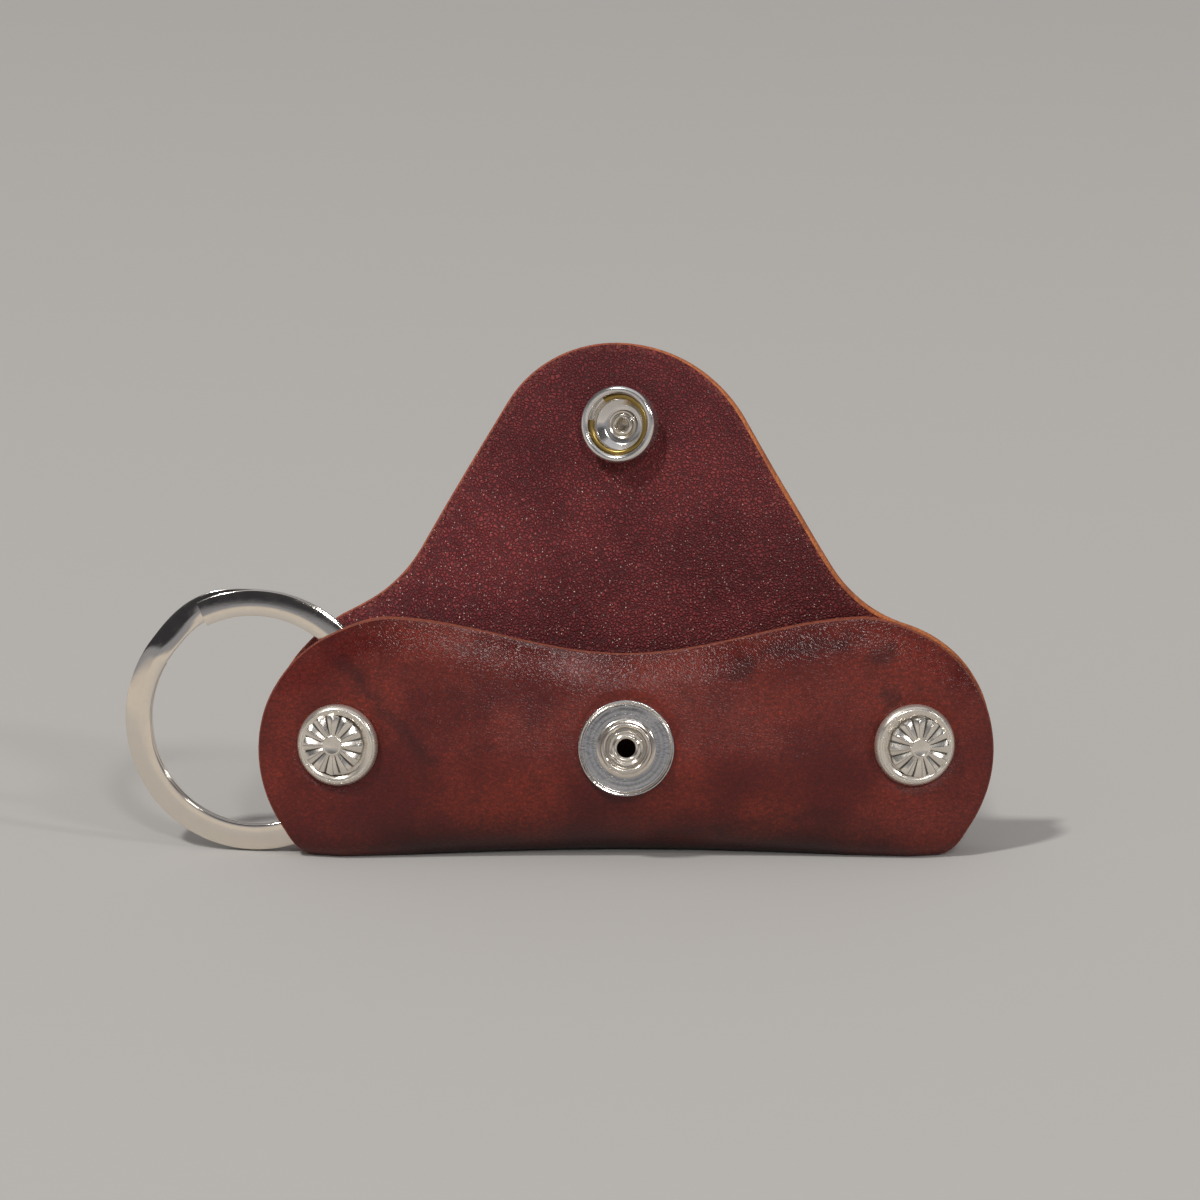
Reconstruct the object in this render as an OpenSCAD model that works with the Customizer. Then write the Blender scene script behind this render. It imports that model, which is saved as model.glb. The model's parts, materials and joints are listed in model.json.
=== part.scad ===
// Leather key case with a fold-over flap, shown open. Millimetres, +Z up, -Y towards the viewer.
// One sheet of leather folds at the bottom into a front and a back panel. Two end rivets hold the
// panels together, a key ring turns on the left rivet, and the back panel runs on into the flap.
// A ring snap closes it: the stud is on the front panel, the socket is inside the flap.
// The origin is on the table, in the middle of the footprint of case and ring together.

/* [View] */
// piece to draw, or all of them

/* [Leather panels] */
// thickness of the leather
leather_t = 1.8; // [1.2:0.1:2.6]
// half of the case's width
half_width = 50; // [40:0.5:60]
// radius of the rounded ends of both panels
end_r = 18.2; // [14:0.1:22]
// how far the end circles reach below the fold, along the leather
end_drop = 2.7; // [1:0.1:5]
// how far the front panel's two humps stand above the rounded ends
hump_rise = 0.7; // [0:0.1:4]
// depth of the dip between the humps
dip_depth = 3.4; // [0:0.1:6]
// distance of each hump from the side edge
hump_in = 19; // [16:0.5:26]
// free space between the panels at the end rivets
pouch_gap = 3.8; // [3.4:0.1:5]
// how far the front panel bulges forward between the rivets
front_bulge = 3.4; // [1:0.1:6]
// how much deeper the pouch is at the middle than at the rivets
pouch_depth = 6.6; // [3:0.1:9]
// length over which the panels part beyond the ends of the fold
corner_run = 3; // [2:0.5:6]
// height of the fold's round at the ends
fold_h = 3.2; // [2.6:0.1:5]
// extra height of the fold's round at the middle
fold_h_mid = 3.8; // [1:0.1:6]
// how far back the middle of the fold lies under the panels
foot_back = 4.2; // [0:0.1:6]
// height over which the panels come forward again
foot_ease = 15; // [10:0.5:16]
// how far the fold's outside is pressed flat where it stands on the table
fold_press = 0.35; // [0.2:0.05:0.6]

/* [Lean] */
// slope of both panels, backwards per height
lean_share = 0.12; // [0:0.01:0.3]
// extra slope of the front panel above its belly, at the middle
belly_lean_share = 0.18; // [0:0.01:0.3]
// height where the front panel's extra slope starts
belly_up = 6; // [3:0.5:12]
// height over which that slope comes in
belly_ease = 4; // [2:0.5:10]
// extra slope of the flap
flap_lean_share = 0.13; // [0:0.005:0.3]
// height where the flap's extra slope starts
flap_lean_up = 24; // [18:0.5:34]
// height over which that slope comes in
flap_lean_ease = 16; // [8:0.5:24]
// twist of the flap, its right edge forward
flap_twist = 18; // [0:1:30]
// height where the twist starts
twist_up = 18; // [14:0.5:30]
// height over which the twist comes in
twist_run = 36; // [20:0.5:50]

/* [Flap outline] */
// height of the flap's tip, along the leather
tip_up = 70.3; // [60:0.1:80]
// radius of the tip
tip_r = 18.8; // [14:0.1:24]
// angle between the flap's straight sides and the vertical
side_angle = 30.5; // [20:0.5:40]
// radius of the hollow curve between the sides and the end circles
flare_r = 20; // [12:0.5:30]
// how far below the humps' tops the bending strip of the leather starts
strip_drop = 0.9; // [0.5:0.1:2]
// length of the bending strip, up to the stiff part of the flap
strip_run = 15.5; // [14:0.1:17]
// gap between the strip and the pieces next to it
strip_gap = 0.12; // [0.05:0.01:0.3]

/* [Rivets] */
// distance of each end rivet from the side edge
rivet_in = 11; // [9:0.5:16]
// how far the end rivets stand above the end circles' centres
rivet_rise = 1.3; // [0:0.1:3]
// how deep a metal piece is pressed into the leather under it
seat_sink = 0.22; // [0.1:0.01:0.4]
// clearance round a piece in its hole or seat
seat_clear = 0.05; // [0.02:0.01:0.15]
// radius of a rivet's shaft
post_r = 1.4; // [1:0.05:2]
// radius of the flange under a rivet's fluted disc
post_flange_r = 2.6; // [2:0.1:3.5]
// thickness of that flange
post_flange_t = 0.4; // [0.2:0.05:0.8]
// outer radius of the round rim of a cap
bezel_r = 5.6; // [4:0.1:8]
// radius of the well inside the rim
well_r = 4.35; // [3:0.05:6]
// thickness of the well's floor
bezel_floor = 0.4; // [0.2:0.05:0.8]
// height of a cap's rim
bezel_h = 1.7; // [1:0.1:3]
// radius of the plain cap on the back
back_cap_r = 4.6; // [3:0.1:6]
// height of the plain cap
back_cap_h = 1.6; // [1:0.1:3]
// how deep a shaft goes into its plain cap
back_cap_bore = 1.1; // [0.6:0.1:2]

/* [Fluted discs] */
// radius of a fluted disc
rosette_r = 4.1; // [3:0.05:6]
// thickness of the disc at its edge
rosette_edge = 0.55; // [0.3:0.05:1]
// rise of the disc from its edge to its middle
rosette_rise = 0.45; // [0:0.05:1]
// number of flutes
flute_count = 12; // [8:1:24]
// height of the ridge of each flute
flute_h = 0.42; // [0.1:0.02:0.8]
// how much of the radius the notch between two flutes takes
flute_notch_share = 0.05; // [0:0.01:0.12]
// how high a ridge is beside the button, of its full height
flute_start_share = 0.35; // [0.1:0.05:1]
// how high it is at the edge of the disc
flute_end_share = 0.55; // [0.3:0.05:1]
// radius of the plain button at the middle
button_r = 1.35; // [0.8:0.05:2]
// height of the button over the disc
button_h = 0.35; // [0.1:0.05:0.8]

/* [Stud] */
// distance of the stud below the dip, along the leather
stud_drop = 12.4; // [9:0.1:16]
// radius of the washer
washer_r = 6.5; // [5:0.1:8]
// thickness of the washer
washer_t = 0.4; // [0.2:0.05:0.8]
// height of the thin rim round the washer
washer_rim = 0.2; // [0.1:0.05:0.5]
// width of that rim
washer_rim_w = 0.35; // [0.2:0.05:0.8]
// radius of the stud's foot
stud_foot_r = 4; // [3:0.05:5]
// thickness of the foot
stud_foot_t = 0.5; // [0.3:0.05:0.8]
// radius of the stud's neck
stud_neck_r = 3.1; // [2.4:0.05:4]
// length of the neck
stud_neck_h = 1.1; // [0.8:0.05:2]
// radius of the stud's head
stud_head_r = 3.55; // [2.8:0.05:4.5]
// height of the head
stud_head_h = 0.9; // [0.6:0.05:1.5]
// radius of the hollow in the head
stud_hollow_r = 2.75; // [2:0.05:3.5]
// depth of the hollow
stud_hollow_d = 0.7; // [0.3:0.05:1.2]
// radius of the eyelet's bore
eyelet_bore_r = 1.25; // [0.8:0.05:1.8]
// outer radius of the eyelet's tube
eyelet_r = 1.65; // [1.2:0.05:2.4]
// radius of the eyelet's rolled end
eyelet_roll_r = 2.45; // [1.8:0.05:3]
// height of the rolled end
eyelet_roll_h = 0.55; // [0.3:0.05:1]
// radius of the eyelet's flange inside the pouch
eyelet_flange_r = 3.6; // [2.5:0.1:5]
// thickness of that flange
eyelet_flange_t = 0.4; // [0.2:0.05:0.8]

/* [Socket] */
// distance of the socket below the flap's tip
socket_drop = 10.9; // [8:0.1:20]
// outer radius of the socket
socket_r = 5.25; // [4:0.05:7]
// height of the socket
socket_h = 3.5; // [2.5:0.05:5]
// thickness of the socket's floor
socket_floor = 0.5; // [0.3:0.05:0.8]
// radius of the socket's mouth
mouth_r = 4.25; // [3.2:0.05:5]
// clearance of the spring in its groove, each way
groove_clear = 0.09; // [0.05:0.01:0.2]
// radius of the spring's wire
spring_wire_r = 0.42; // [0.25:0.01:0.6]
// radius from the socket's middle to the wire's middle
spring_r = 3.9; // [3:0.05:5]
// opening of the split spring, in degrees
spring_split = 50; // [10:5:90]
// direction of that opening
spring_turn = 150; // [0:5:360]
// radius of the hole in the socket's rivet
tip_hole_r = 0.8; // [0.5:0.05:1.1]
// radius of that rivet's rolled end
tip_roll_r = 2.05; // [1.6:0.05:2.6]
// height of that rolled end
tip_roll_h = 0.6; // [0.3:0.05:1]
// gap between the socket's mouth and the washer when closed
snap_gap = 0.15; // [0.05:0.01:0.3]

/* [Key ring] */
// outer radius of the ring
ring_r = 17.9; // [12:0.1:25]
// width of the flat wire, inwards
ring_w = 3.5; // [2:0.1:5]
// thickness of one turn of the wire
turn_t = 1; // [0.8:0.05:1.1]
// gap between the two turns
turn_gap = 0.04; // [0.01:0.01:0.1]
// rounding of the wire's edges
ring_edge = 0.3; // [0.1:0.05:0.5]
// distance of the ring's middle from the rivet, sideways
ring_side = 12.4; // [8:0.1:12.4]
// how far the ring lies behind the middle of the gap between the panels
ring_back = 0.5; // [0:0.05:0.6]
// how much the ring faces more to the right than the rivet
ring_turn_share = 0.06; // [0:0.01:0.1]
// how much it faces more upwards
ring_lean_share = 0.02; // [0:0.01:0.06]
// gap between the ring and the table
ring_lift = 0.02; // [0:0.01:0.5]
// angle where the front turn ends
turn_end = 117; // [0:1:360]
// angle over which the wire changes from one turn to the other
turn_change = 48; // [20:1:90]

/* [Place on the table] */
// sideways distance of the case's middle from the origin
case_x = 9.3; // [-20:0.1:20]
// depth of the case's middle from the origin
case_y = -6.7; // [-20:0.1:20]

/* [Hidden] */
$fn = 96;
probe = 0.01;
over = 1;
mid_cols = 30;
lobe_cols = 5;
panel_rows = 11;
rows_power = 1.4;
strip_cols = 12;
strip_rows = 8;
flap_rows = 13;
arc_steps = 8;
end_up = end_r - end_drop;
hump_up = end_up + end_r + hump_rise;
hump_x = half_width - hump_in;
dip_up = hump_up - dip_depth;
strip_low = hump_up - strip_drop;
strip_high = strip_low + strip_run;
rivet_x = half_width - rivet_in;
rivet_up = end_up + rivet_rise;
stud_up = dip_up - stud_drop;
socket_up = tip_up - socket_drop;
end_x = half_width - end_r;
fold_x = end_x + sqrt(end_r * end_r - end_up * end_up);
half_sep = (pouch_gap + leather_t) / 2;
clamp_t = leather_t - 2 * seat_sink;
ring_t = 2 * turn_t + turn_gap;
corner_steps = 2;
wire_steps = 112;
lobe_end_share = 0.94;
rosette_rings = 4;
rosette_steps = 6;
rosette_around = flute_count * rosette_steps;

// The leather's middle surface.
// Each point is given by x and by s, the distance along the leather from the fold.
// side is -1 on the front panel and 1 on the back panel and the flap.

function soft(u, w) = u <= 0 ? 0 : u * u / (u + w);
function ease(u) = let (c = min(max(u, 0), 1)) c * c * (3 - 2 * c);
function unit(v) = v / norm(v);
function reach(x) = pow(x / rivet_x, 2);
function belly(x) = pow(max(0, 1 - reach(x)), 2);
function half_open(x) = half_sep + pouch_depth / 2 * belly(x);
function round_h(x) = fold_h + fold_h_mid * belly(x);
function round_len(x) = PI / 2 * sqrt((pow(half_open(x), 2) + pow(round_h(x), 2)) / 2);
function middle_y(x) = pouch_depth / 2 * belly(x) - front_bulge * (1 - reach(x));
function foot(x, h) = foot_back * max(0, 1 - reach(x)) * (1 - ease(h / foot_ease));
function parted(x) = ease((abs(x) - fold_x) / corner_run);
function out_at(x, s) = half_open(x) * sin(90 * min(max(s / round_len(x), 0) + parted(x), 1));
function up_at(x, s) = let (l = round_len(x)) s < l
    ? round_h(x) * (1 - cos(90 * s / l))
    : round_h(x) + s - l;
function front_lean(x, h) = foot(x, h) + lean_share * h
    + belly(x) * belly_lean_share * soft(h - belly_up, belly_ease);
function back_lean(x, h) = foot(x, h) + lean_share * h
    + flap_lean_share * soft(h - flap_lean_up, flap_lean_ease)
    - x * tan(flap_twist) * ease((h - twist_up) / twist_run);
function skin(x, s, side) = let (h = up_at(x, s)) [
    x,
    middle_y(x) + side * out_at(x, s) + (side < 0 ? front_lean(x, h) : back_lean(x, h)),
    leather_t / 2 - fold_press + h
];
function skin_out(x, s, side) = -side * unit(cross(
    skin(x + probe, s, side) - skin(x - probe, s, side),
    skin(x, s + probe, side) - skin(x, s - probe, side)
));

// The outline, cut from the flat leather.

// centre of the flare: it touches the flap's straight side and the end circle
side_dir = [sin(side_angle), -cos(side_angle)];
side_out = [cos(side_angle), sin(side_angle)];
tip_mid = tip_up - tip_r;
side_start = [0, tip_mid] + tip_r * side_out;
flare_from = side_start + flare_r * side_out - [end_x, end_up];
flare_b = flare_from * side_dir;
flare_run = -flare_b - sqrt(flare_b * flare_b - flare_from * flare_from + pow(end_r + flare_r, 2));
flare_mid = side_start + flare_r * side_out + flare_run * side_dir;
side_end = side_start + flare_run * side_dir;
flare_end_x = end_x + end_r * (flare_mid[0] - end_x) / (end_r + flare_r);

function end_high(x) = end_up + sqrt(max(0, end_r * end_r - pow(abs(x) - end_x, 2)));
function end_low(x) = abs(x) > end_x
    ? max(0, end_up - sqrt(max(0, end_r * end_r - pow(abs(x) - end_x, 2))))
    : 0;
function front_high(x) = abs(x) < hump_x
    ? dip_up + (hump_up - dip_up) * (1 - cos(180 * abs(x) / hump_x)) / 2
    : end_high(x) + hump_rise * (1 - ease(2 * (abs(x) - hump_x) / hump_in));
function back_high(x) = abs(x) < side_start[0] ? tip_mid + sqrt(tip_r * tip_r - x * x)
    : abs(x) < side_end[0] ? side_start[1] - (abs(x) - side_start[0]) / tan(side_angle)
    : abs(x) < flare_end_x ? flare_mid[1] - sqrt(pow(flare_r, 2) - pow(abs(x) - flare_mid[0], 2))
    : end_high(x);
function flap_half(s) = s > side_start[1] ? sqrt(max(0, tip_r * tip_r - pow(s - tip_mid, 2)))
    : s > side_end[1] ? side_start[0] + (side_start[1] - s) * tan(side_angle)
    : flare_mid[0] - sqrt(pow(flare_r, 2) - pow(flare_mid[1] - s, 2));

// Sheets of leather as closed solids.

// points outside and inside a grid of middle points; the outside never goes under the table
function thick(p, n) = concat(
    [for (i = [0:len(p) - 1]) let (q = p[i] + n[i] * leather_t / 2) [q[0], q[1], max(0, q[2])]],
    [for (i = [0:len(p) - 1]) p[i] - n[i] * leather_t / 2]
);

// faces from four-sided patches and from the edges that only one patch has
function closed(patches, edges, n) = concat(
    [for (f = patches) for (c = [[3, 1, 0], [3, 2, 1]]) [f[c[0]], f[c[1]], f[c[2]]]],
    [for (f = patches) for (c = [[0, 1, 3], [1, 2, 3]]) [f[c[0]] + n, f[c[1]] + n, f[c[2]] + n]],
    [for (e = edges) [e[0], e[1], e[1] + n]],
    [for (e = edges) [e[0], e[1] + n, e[0] + n]]
);

module sheet(points, normals, patches, edges) {
    polyhedron(points = thick(points, normals), faces = closed(patches, edges, len(points)), convexity = 8);
}

// columns across the pouch: even between the ends of the fold, closer on the end circles
lobe_angle = acos((fold_x - end_x) / end_r);
function lobe_x(k) = end_x + end_r * cos(lobe_angle * (1 - lobe_end_share * k / lobe_cols));
col_count = mid_cols + 2 * lobe_cols;
columns = concat(
    [for (k = [lobe_cols:-1:1]) -lobe_x(k)],
    [for (k = [0:mid_cols]) fold_x * (2 * k / mid_cols - 1)],
    [for (k = [1:lobe_cols]) lobe_x(k)]
);
function folded(i) = i >= lobe_cols && i <= lobe_cols + mid_cols;
function row_s(x, high, j) = end_low(x) + (high - end_low(x)) * pow(j / panel_rows, rows_power);
function front_s(i, j) = row_s(columns[i], front_high(columns[i]), j);
function back_s(i, j) = row_s(columns[i], min(strip_low, back_high(columns[i])), j);
rows = panel_rows + 1;
first_back = (col_count + 1) * rows;
function fr(i, j) = i * rows + j;
function bk(i, j) = j == 0 && folded(i) ? fr(i, 0) : first_back + i * rows + j;
spots = concat(
    [for (i = [0:col_count]) for (j = [0:panel_rows]) [columns[i], front_s(i, j), -1]],
    [for (i = [0:col_count]) for (j = [0:panel_rows]) [columns[i], back_s(i, j), 1]]
);
pouch_patches = concat(
    [for (i = [0:col_count - 1]) for (j = [0:panel_rows - 1])
        [fr(i, j), fr(i + 1, j), fr(i + 1, j + 1), fr(i, j + 1)]],
    [for (i = [0:col_count - 1]) for (j = [0:panel_rows - 1])
        [bk(i, j), bk(i, j + 1), bk(i + 1, j + 1), bk(i + 1, j)]]
);
pouch_edges = concat(
    [for (i = [0:col_count - 1]) [fr(i + 1, panel_rows), fr(i, panel_rows)]],
    [for (i = [0:col_count - 1]) [bk(i, panel_rows), bk(i + 1, panel_rows)]],
    [for (i = [0:col_count - 1]) if (!folded(i) || !folded(i + 1)) [fr(i, 0), fr(i + 1, 0)]],
    [for (i = [0:col_count - 1]) if (!folded(i) || !folded(i + 1)) [bk(i + 1, 0), bk(i, 0)]],
    [for (j = [0:panel_rows - 1]) [fr(0, j + 1), fr(0, j)]],
    [for (j = [0:panel_rows - 1]) [fr(col_count, j), fr(col_count, j + 1)]],
    [for (j = [0:panel_rows - 1]) [bk(0, j), bk(0, j + 1)]],
    [for (j = [0:panel_rows - 1]) [bk(col_count, j + 1), bk(col_count, j)]]
);

module pouch_sheet() {
    sheet(
        [for (p = spots) skin(p[0], p[1], p[2])],
        [for (p = spots) skin_out(p[0], p[1], p[2])],
        pouch_patches,
        pouch_edges
    );
}

// a piece of the flap between two heights, in rows that are as wide as the outline
module flap_sheet(heights) {
    last = len(heights) - 1;
    flat = [for (s = heights) for (k = [0:strip_cols]) [flap_half(s) * (2 * k / strip_cols - 1), s]];
    wide = strip_cols + 1;
    sheet(
        [for (p = flat) skin(p[0], p[1], 1)],
        [for (p = flat) skin_out(p[0], p[1], 1)],
        [for (j = [0:last - 1]) for (k = [0:strip_cols - 1]) let (a = j * wide + k)
            [a, a + wide, a + wide + 1, a + 1]],
        concat(
            [for (k = [0:strip_cols - 1]) [k + 1, k]],
            [for (k = [0:strip_cols - 1]) [last * wide + k, last * wide + k + 1]],
            [for (j = [0:last - 1]) [j * wide, (j + 1) * wide]],
            [for (j = [0:last - 1]) [(j + 1) * wide + strip_cols, j * wide + strip_cols]]
        )
    );
}

// Places on the leather.

// z of the local frame points along n, x is level and points to the viewer's right
function across(n) = unit(cross([0, 0, 1], n));
function upward(n) = cross(n, across(n));
module facing_along(n, o) {
    e1 = across(n);
    e2 = upward(n);
    multmatrix([
        [e1[0], e2[0], n[0], o[0]],
        [e1[1], e2[1], n[1], o[1]],
        [e1[2], e2[2], n[2], o[2]],
        [0, 0, 0, 1]
    ]) children();
}

module on_skin(x, s, side, facing) {
    n = facing * skin_out(x, s, side);
    facing_along(n, skin(x, s, side) + n * (leather_t / 2 - seat_sink)) children();
}

// distance between the seats of an end rivet, front to back
rivet_out = skin_out(rivet_x, rivet_up, -1);
rivet_span = 2 * half_sep * abs(rivet_out[1]) + leather_t - 2 * seat_sink;

module at_left() {
    on_skin(-rivet_x, rivet_up, -1, 1) children();
}

module at_right() {
    on_skin(rivet_x, rivet_up, -1, 1) children();
}

module at_stud() {
    on_skin(0, stud_up, -1, 1) children();
}

module at_socket() {
    on_skin(0, socket_up, 1, -1) children();
}

module behind(span) {
    translate([0, 0, -span]) mirror([0, 0, 1]) children();
}

module seat(r) {
    cylinder(r = r + seat_clear, h = over);
}

module hole(r, span) {
    translate([0, 0, -span - over]) cylinder(r = r + seat_clear, h = span + 2 * over);
}

// Round metal pieces, turned from their half sections.

function arc(c, r, from, to) = [for (k = [0:arc_steps])
    let (a = from + (to - from) * k / arc_steps) c + r * [cos(a), sin(a)]];

// round rim with a flat floor inside it
module bezel() {
    rim_r = (bezel_r - well_r) / 2;
    rotate_extrude() polygon(concat(
        [[post_r + seat_clear, 0], [bezel_r - rim_r / 2, 0], [bezel_r, rim_r / 2]],
        arc([well_r + rim_r, bezel_h - rim_r], rim_r, 0, 180),
        [[well_r, bezel_floor], [post_r + seat_clear, bezel_floor]]
    ));
}

// one ridge of a flute rises halfway between two notches
function ridge(a) = 1 - abs(2 * (a * flute_count / 360 - floor(a * flute_count / 360)) - 1);
function rosette_r_at(k, j) = let (u = j / rosette_rings) (button_r + (rosette_r - button_r) * u)
    * (1 - u * flute_notch_share * (1 - sqrt(ridge(k * 360 / rosette_around))));
function rosette_z_at(k, j) = let (u = j / rosette_rings) rosette_edge + rosette_rise * (1 - u * u)
    + flute_h * (flute_start_share + (1 - flute_start_share) * u) * sin(90 * ridge(k * 360 / rosette_around))
    * (j == rosette_rings ? flute_end_share : 1);
function around(k, r, z) = [r * cos(k * 360 / rosette_around), r * sin(k * 360 / rosette_around), z];

// fluted disc: rings of points from the button out to the scalloped edge, then the flat underside
module flutes() {
    n = rosette_around;
    loops = rosette_rings + 3;
    polyhedron(
        points = concat(
            [for (j = [0:rosette_rings]) for (k = [0:n - 1])
                around(k, rosette_r_at(k, j), rosette_z_at(k, j))],
            [for (k = [0:n - 1]) around(k, rosette_r_at(k, rosette_rings), 0)],
            [for (k = [0:n - 1]) around(k, rosette_r_at(k, 0), 0)]
        ),
        faces = [for (j = [0:loops - 1]) for (k = [0:n - 1])
            let (a = j * n, b = (j + 1) % loops * n, c = (k + 1) % n) [a + k, a + c, b + c, b + k]],
        convexity = 6
    );
}

module rosette() {
    top = rosette_edge + rosette_rise + button_h;
    translate([0, 0, bezel_floor + post_flange_t]) {
        flutes();
        rotate_extrude() polygon(concat(
            [[0, 0], [button_r + seat_clear, 0]],
            arc([button_r + seat_clear - button_h, top - button_h], button_h, 0, 90),
            [[0, top]]
        ));
    }
}

// shaft through both panels, with a flange on the floor of the cap's well
module post(span) {
    rotate_extrude() polygon([
        [0, -span - back_cap_bore],
        [post_r, -span - back_cap_bore],
        [post_r, bezel_floor],
        [post_flange_r, bezel_floor],
        [post_flange_r, bezel_floor + post_flange_t],
        [0, bezel_floor + post_flange_t]
    ]);
}

module back_cap() {
    edge = back_cap_h / 2;
    crown = (pow(back_cap_r - edge, 2) + edge * edge) / (2 * edge);
    fall = asin((back_cap_r - edge) / crown);
    difference() {
        rotate_extrude() polygon(concat(
            [[0, 0], [back_cap_r - edge / 2, 0], [back_cap_r, edge / 2], [back_cap_r - edge / 4, edge]],
            [for (k = [arc_steps:-1:0]) let (a = fall * k / arc_steps)
                [crown * sin(a), back_cap_h - crown + crown * cos(a)]]
        ));
        translate([0, 0, -over]) cylinder(r = post_r + seat_clear, h = over + back_cap_bore);
    }
}

module washer() {
    rotate_extrude() polygon([
        [eyelet_r + seat_clear, 0],
        [washer_r, 0],
        [washer_r, washer_t + washer_rim],
        [washer_r - washer_rim_w, washer_t + washer_rim],
        [washer_r - 2 * washer_rim_w, washer_t],
        [eyelet_r + seat_clear, washer_t]
    ]);
}

module stud() {
    foot = washer_t + stud_foot_t;
    neck = foot + stud_neck_h;
    top = neck + stud_head_h;
    round_r = stud_head_h / 2;
    lip_r = (stud_head_r - stud_hollow_r) / 2;
    rotate_extrude() polygon(concat(
        [[eyelet_r + seat_clear, washer_t], [stud_foot_r, washer_t], [stud_foot_r, foot - stud_foot_t / 4],
            [stud_foot_r - stud_foot_t / 4, foot], [stud_neck_r, foot + stud_foot_t / 4],
            [stud_neck_r, neck - stud_foot_t / 4], [stud_head_r, neck + stud_foot_t / 4]],
        arc([stud_hollow_r + lip_r, top - lip_r], lip_r, 0, 180),
        [[stud_hollow_r, top - stud_hollow_d], [eyelet_r + seat_clear, top - stud_hollow_d]]
    ));
}

// tube with a flange inside the pouch and a rolled end in the stud's hollow
module eyelet() {
    floor_z = washer_t + stud_foot_t + stud_neck_h + stud_head_h - stud_hollow_d;
    roll = eyelet_roll_h / 2;
    rotate_extrude() polygon(concat(
        [[eyelet_bore_r, -clamp_t - eyelet_flange_t], [eyelet_flange_r, -clamp_t - eyelet_flange_t],
            [eyelet_flange_r, -clamp_t], [eyelet_r, -clamp_t], [eyelet_r, floor_z]],
        arc([eyelet_roll_r - roll, floor_z + roll], roll, -90, 90),
        [[eyelet_bore_r + roll, floor_z + eyelet_roll_h], [eyelet_bore_r, floor_z + roll]]
    ));
}

spring_z = socket_h + snap_gap - stud_foot_t - stud_neck_h / 2;

module socket() {
    rim = (socket_r - mouth_r) / 2;
    groove_r = spring_r + spring_wire_r + groove_clear;
    half = spring_wire_r + groove_clear;
    rotate_extrude() polygon(concat(
        [[post_r + seat_clear, 0], [socket_r - rim, 0], [socket_r - rim / 2, rim / 2],
            [socket_r - rim / 2, socket_h - 3 * rim], [socket_r, socket_h - 2 * rim]],
        arc([mouth_r + rim, socket_h - rim], rim, 0, 180),
        [[mouth_r, spring_z + half], [groove_r, spring_z + half], [groove_r, spring_z - half],
            [mouth_r, spring_z - half], [mouth_r, 2 * socket_floor], [mouth_r - socket_floor, socket_floor],
            [post_r + seat_clear, socket_floor]]
    ));
}

module spring() {
    translate([0, 0, spring_z]) rotate([0, 0, spring_turn + spring_split / 2])
        rotate_extrude(angle = 360 - spring_split) translate([spring_r, 0]) circle(r = spring_wire_r);
}

// hollow rivet of the socket: its flange is in the outer cap, its rolled end inside the socket
module tip_post() {
    low = -clamp_t - bezel_floor - post_flange_t;
    roll = tip_roll_h / 2;
    rotate_extrude() polygon(concat(
        [[tip_hole_r, low], [post_flange_r, low], [post_flange_r, low + post_flange_t],
            [post_r, low + post_flange_t], [post_r, socket_floor]],
        arc([tip_roll_r - roll, socket_floor + roll], roll, -90, 90),
        [[tip_hole_r + roll, socket_floor + tip_roll_h], [tip_hole_r, socket_floor + roll]]
    ));
}

// Key ring: flat wire that runs clockwise round the front, ducks behind its own start
// and runs round the back, so that both ends lie against the bend between the turns.
function wire_corner(c, from) = [for (k = [0:corner_steps])
    let (a = from + 90 * k / corner_steps) c + ring_edge * [cos(a), sin(a)]];
wire_in = ring_r - ring_w + ring_edge;
wire_out = ring_r - ring_edge;
wire_top = turn_t / 2 - ring_edge;
wire_section = concat(
    wire_corner([wire_out, wire_top], 0),
    wire_corner([wire_in, wire_top], 90),
    wire_corner([wire_in, -wire_top], 180),
    wire_corner([wire_out, -wire_top], 270)
);
wire_run = 720 - turn_change;
function wire_z(u) = (turn_t + turn_gap) * (1 / 2 - ease((u - 360 + turn_change) / turn_change));
function wire_spot(i, k) = let (u = wire_run * i / wire_steps, a = turn_end - u, q = wire_section[k])
    [q[0] * cos(a), q[0] * sin(a), q[1] + wire_z(u)];

module split_ring() {
    n = len(wire_section);
    polyhedron(
        points = [for (i = [0:wire_steps]) for (k = [0:n - 1]) wire_spot(i, k)],
        faces = concat(
            [[for (k = [0:n - 1]) k]],
            [[for (k = [n - 1:-1:0]) wire_steps * n + k]],
            [for (i = [0:wire_steps - 1]) for (k = [0:n - 1])
                [i * n + k, (i + 1) * n + k, (i + 1) * n + (k + 1) % n]],
            [for (i = [0:wire_steps - 1]) for (k = [0:n - 1])
                [i * n + k, (i + 1) * n + (k + 1) % n, i * n + (k + 1) % n]]
        ),
        convexity = 8
    );
}

// the ring hangs loosely on the left rivet and stands on the table between the panels
left_out = skin_out(-rivet_x, rivet_up, -1);
left_seat = skin(-rivet_x, rivet_up, -1) + left_out * (leather_t / 2 - seat_sink);
ring_out = unit(left_out + ring_turn_share * across(left_out) + ring_lean_share * upward(left_out));
ring_mid = left_seat - left_out * rivet_span / 2 - ring_out * ring_back;
ring_up = (ring_lift + ring_r * upward(ring_out)[2] + ring_t / 2 * ring_out[2] - ring_mid[2])
    / upward(ring_out)[2];

// The pieces.

module placed() {
    translate([case_x, case_y, 0]) children();
}

module case_leather() {
    color("#6e2f28") placed() difference() {
        pouch_sheet();
        at_left() {
            seat(bezel_r);
            hole(post_r, rivet_span);
            behind(rivet_span) seat(back_cap_r);
        }
        at_right() {
            seat(bezel_r);
            hole(post_r, rivet_span);
            behind(rivet_span) seat(back_cap_r);
        }
        at_stud() {
            seat(washer_r);
            hole(eyelet_r, clamp_t);
            behind(clamp_t) seat(eyelet_flange_r);
        }
    }
}

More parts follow.
